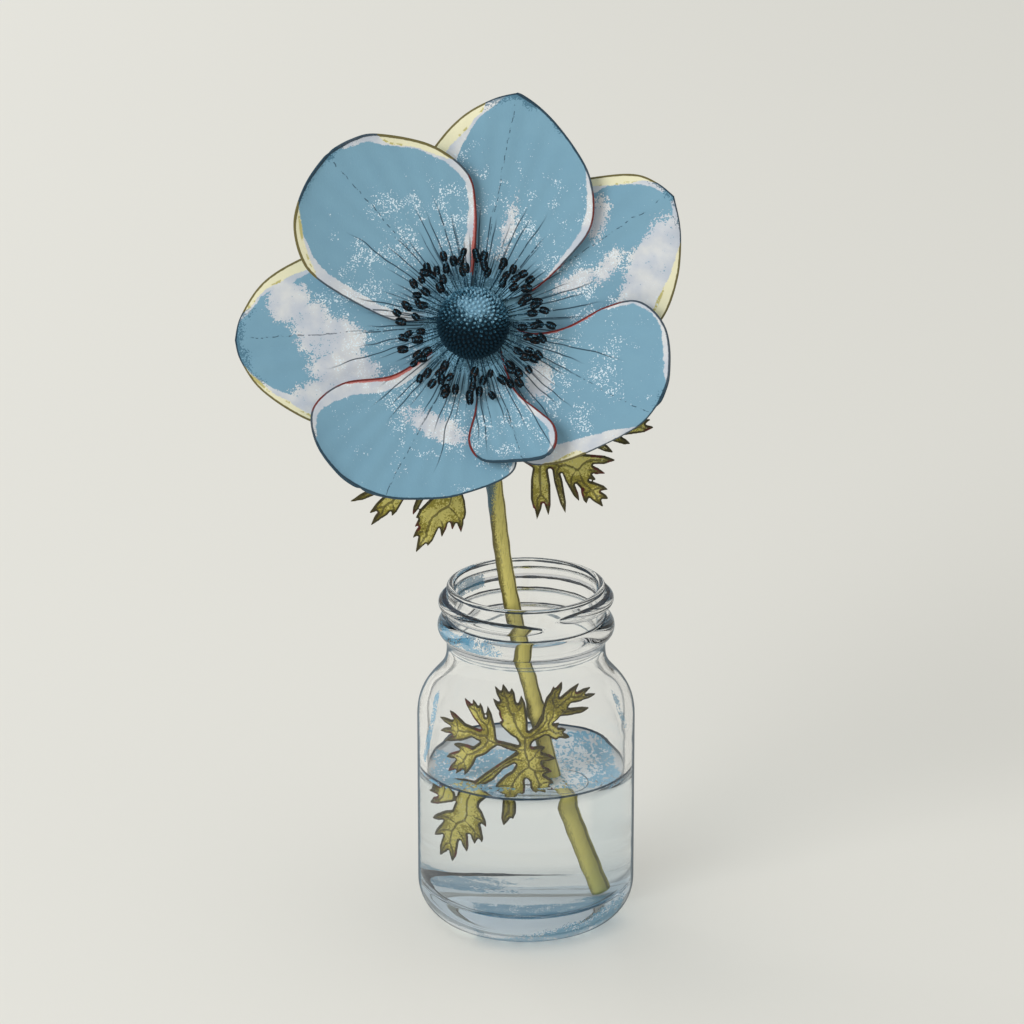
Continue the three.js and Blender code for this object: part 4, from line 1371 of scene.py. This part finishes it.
def petal_veins(finish, spoke, reach, broad, middle):
    """Long and short veins that fan out from the middle, and a broken midline."""
    long_veins = vein_lines(finish, spoke, reach, degrees=5.0, salt=3.0, width=0.17, longest=21.0)
    short_veins = vein_lines(finish, spoke, reach, degrees=3.6, salt=11.0, width=0.13, longest=10.0)
    away = abs(spoke + broad * 3.0) * reach * math.radians(1)
    midline = away.fade(0.06, 0.14) * (middle + 0.02).ramp(0.0, 0.06) * zone(reach, 18.0, 43.0, 1.0)
    return most(long_veins, short_veins * 0.8, midline * 0.8)


def petal_finish(settings, name, blue, heart):
    """Powdery blue with ragged pale patches, cream and rose margins, dark veins, pale flecks, and painted
    shade as dark stipple near the root and the tip. The heart is the colour at the petal's root: on the
    front it is painted light, paler where the stamens shade the root."""
    finish = Finish(name)
    spoke, reach, _ = finish.split(finish.node("UVMap", {"uv_map": "spokes"}))
    rim = finish.field("rim")
    fine = finish.grain(3.4, 1.0)
    middle = finish.grain(1.2, 3.0)
    broad = finish.grain(0.22, 3.0)
    margin = (finish.field("pale") + fine * 0.4 + middle * 0.5 + broad * 1.6).ramp(-0.08, 0.12)
    ragged = fine * 2.0 + middle * 1.5 + broad * 1.4
    patch = (finish.field("patch").at_most(1.6) * 0.5 + ragged - 0.1).ramp(0.0, 0.16)
    pale = margin.at_least(patch) * (0.92 + broad * 0.6)
    cream = (finish.field("cream") + fine * 0.5 + broad * 1.2).ramp(-0.1, 0.1)
    olive = cream * finish.field("cream").fade(0.2, 0.5) * (broad + middle * 0.6).ramp(0.03, 0.1)
    halfway = reach - 21.0
    crowd = (broad * 2.2 - halfway * halfway * 0.002 + 0.12).at_least(-0.2).at_most(0.3)
    fleck = (fine + middle * 0.35 + crowd * 0.5).ramp(0.2, 0.24)
    # Painted shade: dark stipple close to the root, under the stamens, and near the rim towards the tip
    near_tip = 0.2 - rim * 0.22 + (reach - 41.5) * 0.06
    near_root = 1.06 - reach * 0.1
    stipple = (fine * 1.3 + broad * 1.6 + near_root.at_least(near_tip) - 0.2).ramp(0.0, 0.08)
    veins = petal_veins(finish, spoke, reach, broad, middle)
    rose = finish.field("rose") * 0.72 - 0.12
    tinge = (rose + fine * 0.3 + broad * 0.5).ramp(-0.05, 0.1)
    line_width = 0.34 + middle * 0.22 + cream * 0.14
    outline = rim.fade(line_width - 0.1, line_width + 0.06)
    rim_ink = finish.coats(settings.ink, (cream, CREAM_INK), ((rose + 0.1).ramp(-0.1, 0.1), ROSE_INK))
    colour = finish.coats(
        blue,
        (broad.ramp(-0.2, 0.2) * 0.35, PETAL_SHADE),
        (pale, finish.mix(broad.ramp(-0.15, 0.15), settings.pale, PETAL_MIST)),
        (cream, settings.cream),
        (olive * 0.9, PETAL_OLIVE),
        (fleck * 0.85, PETAL_FLECK),
        # Painted light: the root is paler on the front, where the stamens shade it
        (reach.fade(8.0, 14.0) * 0.9, heart),
        (stipple * (1 - cream) * 0.75, DUSKY_BLUE),
        (veins * 0.85, settings.ink),
        (tinge * 0.9, settings.rose),
        (outline * 0.92, rim_ink),
    )
    normal = finish.bump(fine * 0.3 + middle * 0.35 - veins * 0.8, depth=0.1, strength=0.6)
    return finish.surface(
        {"Base Color": colour, "Roughness": 0.62 + middle * 0.25, "Normal": normal},
        {"Specular IOR Level": 0.25, "Sheen Weight": 0.15, "Sheen Roughness": 0.5},
    )


class BuildPetals(bpy.types.Operator):
    """Draw out the seven petals in their four levels"""

    bl_idname = "anemone.build_petals"
    bl_label = "Build the petals"

    def execute(self, context):
        settings = context.scene.anemone_bloom
        # The front's root colour is painted light, against the shade of the stamens
        front = petal_finish(settings, "petal_front", settings.blue, PETAL_ROOT_LIGHT)
        back = petal_finish(settings, "petal_back", PETAL_BACK, PETAL_BACK_HEART)
        for name, petal in PETALS.items():
            piece = add_piece(name + "_blade", petal_mesh(name, petal), front, "petals", name)
            piece.data.materials.append(back)
            wall = piece.modifiers.new("Thickness", "SOLIDIFY")
            wall.thickness = settings.thickness
            wall.offset = -1
            wall.material_offset = 1
            soft = piece.modifiers.new("Soft edges", "SUBSURF")
            soft.levels = 1
            soft.render_levels = 1
        return {"FINISHED"}


# Carpels


def dome_point(polar, turn, inset):
    """A place on the dome and the way out of it, in the bloom's frame."""
    radius = DOME["radius"] - inset
    rise = DOME["rise"] if polar < math.pi / 2 else DOME["undercut"]
    rise -= inset * DOME["inset_rise"]
    reach = radius * math.sin(polar)
    height = DOME["middle"] + rise * math.cos(polar)
    place = Vector((reach * math.cos(turn), reach * math.sin(turn), height))
    out = Vector((place.x / radius**2, place.y / radius**2, (place.z - DOME["middle"]) / rise**2))
    return place, out.normalized()


def dome_profile():
    """Radius and height of the smooth core under the carpels, from its foot up to its crown."""
    foot, bottom = DOME["foot"], DOME["bottom"]
    profile = [(0, bottom), (foot, bottom), (foot, bottom + 1)]
    for i in range(1, CORE["steps"]):
        polar = math.radians(CORE["start_degrees"] * (1 - i / CORE["steps"]))
        place, _ = dome_point(polar, 0.0, CORE["inset"])
        profile.append((place.x, place.z))
    crown, _ = dome_point(0.0, 0.0, CORE["inset"])
    return [*profile, (0.0, crown.z)]


def brow_light(place):
    """How brightly a place on the dome is lit: 1 on the brow, and less away from it and lower down."""
    across = (place.x - BROW["middle"].x) / BROW["half_sizes"][0]
    up = (place.y - BROW["middle"].y) / BROW["half_sizes"][1]
    return 1 - math.hypot(across, up) - BROW["fall"] * max(0.0, BROW["level"] - place.z)


def carpel_finish():
    """Navy velvet, lighter at the carpels' tips, with a painted highlight on the dome's brow, painted
    shade lower down, and painted shade in the gaps between the carpels.
    """
    finish = Finish("carpel_velvet")
    tip = finish.field("tip")
    speck = finish.grain(3.6, 2.0)
    brow_highlight = finish.field("brow_highlight") + finish.grain(0.7, 2.0) * 1.3
    darkest, dark, middle, light = CARPEL_BLUES
    # Painted shade: the carpels' bases are dark, less so under the painted highlight
    gap_shade = tip.fade(0.05, 0.4) * (1 - brow_highlight.ramp(0.1, 0.6) * 0.6)
    colour = finish.coats(
        darkest,
        ((brow_highlight + speck * 1.6).ramp(-0.6, 0.0), dark),
        ((brow_highlight + speck * 2.4 + tip * 0.25).ramp(-0.1, 0.2), middle),
        ((brow_highlight + speck * 2.4 + tip * 0.2).ramp(0.3, 0.5), light),
        (gap_shade * 0.8, CARPEL_GAP_SHADE),
    )
    normal = finish.bump(speck, depth=0.08, strength=0.6)
    return finish.surface(
        {"Base Color": colour, "Roughness": 0.7 + speck * 0.2, "Normal": normal},
        {"Specular IOR Level": 0.12},
    )


class BuildCarpels(bpy.types.Operator):
    """Crowd tiny carpels in a spiral over the dome"""

    bl_idname = "anemone.build_carpels"
    bl_label = "Build the carpels"

    def execute(self, context):
        settings = context.scene.anemone_bloom
        draw = random.Random(settings.seed)
        bm = bmesh.new()
        tip = bm.verts.layers.float.new("tip")
        spin_profile(bm, dome_profile(), STEPS_ROUND["dome"])
        for i in range(settings.carpels):
            polar = math.acos(1 - CARPEL_COVER * (i + 0.5) / settings.carpels)
            place, out = dome_point(polar, GOLDEN_ANGLE * i, CARPEL["seat"])
            lean = Vector((draw.uniform(-CARPEL["lean"], CARPEL["lean"]) for _ in range(3)))
            size = draw.uniform(0.9, 1.1)
            cone = {"radius1": CARPEL["radius"] * size, "radius2": CARPEL["tip"], "depth": size}
            stand = stand_at(place + out * CARPEL["stand"], out + lean)
            made = bmesh.ops.create_cone(bm, cap_ends=True, segments=6, **cone, matrix=stand)
            for vert in made["verts"]:
                vert[tip] = 1.0 if (vert.co - place).dot(out) > CARPEL["tip_from"] else 0.0
        # The painted highlight on the dome's brow, falling off into painted shade lower down
        write_field(bm, "brow_highlight", [brow_light(vert.co) for vert in bm.verts])
        bmesh.ops.transform(bm, matrix=BLOOM, verts=bm.verts)
        add_piece("carpel_dome", to_mesh(bm, "carpel_dome"), carpel_finish(), "carpels", "carpel_head")
        return {"FINISHED"}


# Stamens


def stamen_finish():
    """Blue-black anthers with a dull bloom, on filaments that pale towards the dome."""
    finish = Finish("stamen_skin")
    anther = finish.field("anther")
    speck = finish.grain(4.0, 2.0)
    head = finish.coats(
        ANTHER_DARK,
        ((anther - 1.3 + speck * 1.3).ramp(0.14, 0.3), DUSKY_BLUE),
        ((finish.grain(3.2, 1.0) - 0.1).ramp(0.0, 0.06) * 0.8, ANTHER_RUST),
    )
    colour = finish.coats(
        FILAMENT_DARK,
        ((speck - 0.02).ramp(0.0, 0.12), FILAMENT_PALE),
        (anther.ramp(0.3, 0.7), head),
    )
    normal = finish.bump(speck, depth=0.1, strength=0.6)
    return finish.surface(
        {"Base Color": colour, "Roughness": 0.7 + speck * 0.2, "Normal": normal},
        {"Specular IOR Level": 0.12},
    )


def add_stamen(bm, turn, reach, lift, draw, anther):
    """One bowed filament with its oval, creased anther."""
    out = Vector((math.cos(turn), math.sin(turn), 0))
    up = Vector((0, 0, 1))
    sway = Vector((-out.y, out.x, 0)) * draw.uniform(-0.5, 0.5)
    route = [
        out * FILAMENT_FOOT[0] + up * FILAMENT_FOOT[1],
        out * (0.35 * reach + 3.0) + sway * 0.5 + up * (0.3 * lift + 4.0),
        out * (0.75 * reach + 1.0) + sway + up * (lift - 0.5),
        out * reach + sway + up * lift,
    ]
    curve = spread(spline(route, ease=0.25, steps=6), len(FILAMENT_RADII))
    sweep(bm, curve, FILAMENT_RADII, sides=5)
    tilt = Vector((draw.uniform(-0.6, 0.6), draw.uniform(-0.6, 0.6), draw.uniform(-0.2, 0.35)))
    heading = (out + tilt).normalized()
    stand = stand_at(route[-1] + heading * 0.5, heading)
    size = draw.uniform(0.85, 1.15)
    middle = stand.translation
    crease = stand.to_3x3() @ Vector((1, 0, 0))
    for vert in oval(bm, stand, [half * size for half in ANTHER], segments=8, rings=6):
        off = (vert.co - middle).dot(crease) / (ANTHER[0] * size)
        vert[anther] = 1.5 - 0.5 * abs(off)
        vert.co += (middle - vert.co) * (0.3 * (1 - abs(off)) ** 2)


class BuildStamens(bpy.types.Operator):
    """Ring the dome with stamens on their collar"""

    bl_idname = "anemone.build_stamens"
    bl_label = "Build the stamens"

    def execute(self, context):
        settings = context.scene.anemone_bloom
        draw = random.Random(settings.seed + 1)
        bm = bmesh.new()
        anther = bm.verts.layers.float.new("anther")
        spin_profile(bm, [*COLLAR, COLLAR[0]], STEPS_ROUND["collar"])
        low, high = ANTHER_RING
        for i in range(settings.stamens):
            share = (i + 0.5) / settings.stamens
            turn = GOLDEN_ANGLE * i + draw.uniform(-0.09, 0.09)
            drawn_in = 1 - TOP_DRAWN_IN * max(0, math.sin(turn))
            reach = low + (high - low) * share**0.7 * drawn_in + draw.uniform(-0.4, 0.4)
            fall = ANTHER_LIFT["fall"] * share
            lift = ANTHER_LIFT["least"] + ANTHER_LIFT["spread"] * draw.random() - fall
            add_stamen(bm, turn, reach, lift, draw, anther)
        bmesh.ops.transform(bm, matrix=BLOOM, verts=bm.verts)
        add_piece("stamen_ring", to_mesh(bm, "stamen_ring"), stamen_finish(), "stamens", "stamens")
        return {"FINISHED"}


# Stage: floor, light and camera


def floor_finish(settings):
    """Plain pale matt floor."""
    finish = Finish("pale_floor")
    shade = finish.grain(0.004, 1.0)
    colour = finish.mix((shade + 0.5).ramp(0.2, 0.8) * 0.12, settings.floor, FLOOR_SHADE)
    return finish.surface({"Base Color": colour}, {"Roughness": 0.95, "Specular IOR Level": 0.0})


def add_light(name, place, size, watts):
    """A soft round light that faces the part and doesn't show in the glass."""
    data = bpy.data.lights.new(name, "AREA")
    data.shape = "DISK"
    data.size = size
    data.energy = watts
    light = bpy.data.objects.new(name, data)
    light.location = place
    light.rotation_euler = (LIGHT_TARGET - light.location).to_track_quat("-Z", "Y").to_euler()
    light.visible_glossy = False
    light.visible_transmission = False
    bpy.context.scene.collection.objects.link(light)


class BuildStage(bpy.types.Operator):
    """Set the floor, the soft light and the camera"""

    bl_idname = "anemone.build_stage"
    bl_label = "Build the stage"

    def execute(self, context):
        settings = context.scene.anemone_stage
        bm = bmesh.new()
        bmesh.ops.create_grid(bm, x_segments=1, y_segments=1, size=FLOOR_HALF)
        mesh = to_mesh(bm, "floor", 1.0)
        mesh.materials.append(floor_finish(settings))
        floor = bpy.data.objects.new("floor", mesh)
        context.scene.collection.objects.link(floor)
        for name, light in LIGHTS.items():
            add_light(name, **light)
        world = bpy.data.worlds.new("studio")
        world.use_nodes = True
        background = world.node_tree.nodes["Background"]
        background.inputs["Color"].default_value = (*SKY, 1)
        background.inputs["Strength"].default_value = SKY_STRENGTH
        context.scene.world = world
        context.scene.view_settings.view_transform = "Standard"
        data = bpy.data.cameras.new("camera")
        data.lens = settings.lens
        data.sensor_width = 36.0
        data.clip_start = 0.05
        data.clip_end = 50.0
        camera = bpy.data.objects.new("camera", data)
        camera.location = CAMERA_PLACE * MM
        camera.rotation_euler = (math.pi / 2 - settings.pitch, 0, 0)
        context.scene.collection.objects.link(camera)
        context.scene.camera = camera
        return {"FINISHED"}


# Panel and registration


class AnemonePanel(bpy.types.Panel):
    """Lists the pieces and their sizes and colours"""

    bl_idname = "VIEW3D_PT_anemone"
    bl_label = "Anemone in a jar"
    bl_space_type = "VIEW_3D"
    bl_region_type = "UI"
    bl_category = "Anemone"

    def draw(self, context):
        for operator in BUILDERS:
            self.layout.operator(operator.bl_idname)
        for key, group in GROUPS.items():
            box = self.layout.box()
            for name in group.__annotations__:
                box.prop(getattr(context.scene, key), name)


GROUPS = {
    "anemone_jar": JarSettings,
    "anemone_water": WaterSettings,
    "anemone_green": GreenSettings,
    "anemone_bloom": BloomSettings,
    "anemone_stage": StageSettings,
}
BUILDERS = [
    BuildStage,
    BuildJar,
    BuildWater,
    BuildStem,
    BuildStemLeaf,
    BuildBracts,
    BuildPetals,
    BuildCarpels,
    BuildStamens,
]


def register():
    """Makes the settings, the operators and the panel known to Blender."""
    for cls in (*GROUPS.values(), *BUILDERS, AnemonePanel):
        bpy.utils.register_class(cls)
    for key, group in GROUPS.items():
        setattr(bpy.types.Scene, key, PointerProperty(type=group))


def unregister():
    """Takes them all out again."""
    for key in GROUPS:
        delattr(bpy.types.Scene, key)
    for cls in reversed((*GROUPS.values(), *BUILDERS, AnemonePanel)):
        bpy.utils.unregister_class(cls)


def main():
    """Builds every piece in order."""
    register()
    for operator in BUILDERS:
        folder, name = operator.bl_idname.split(".")
        getattr(getattr(bpy.ops, folder), name)()


if __name__ == "__main__":
    main()
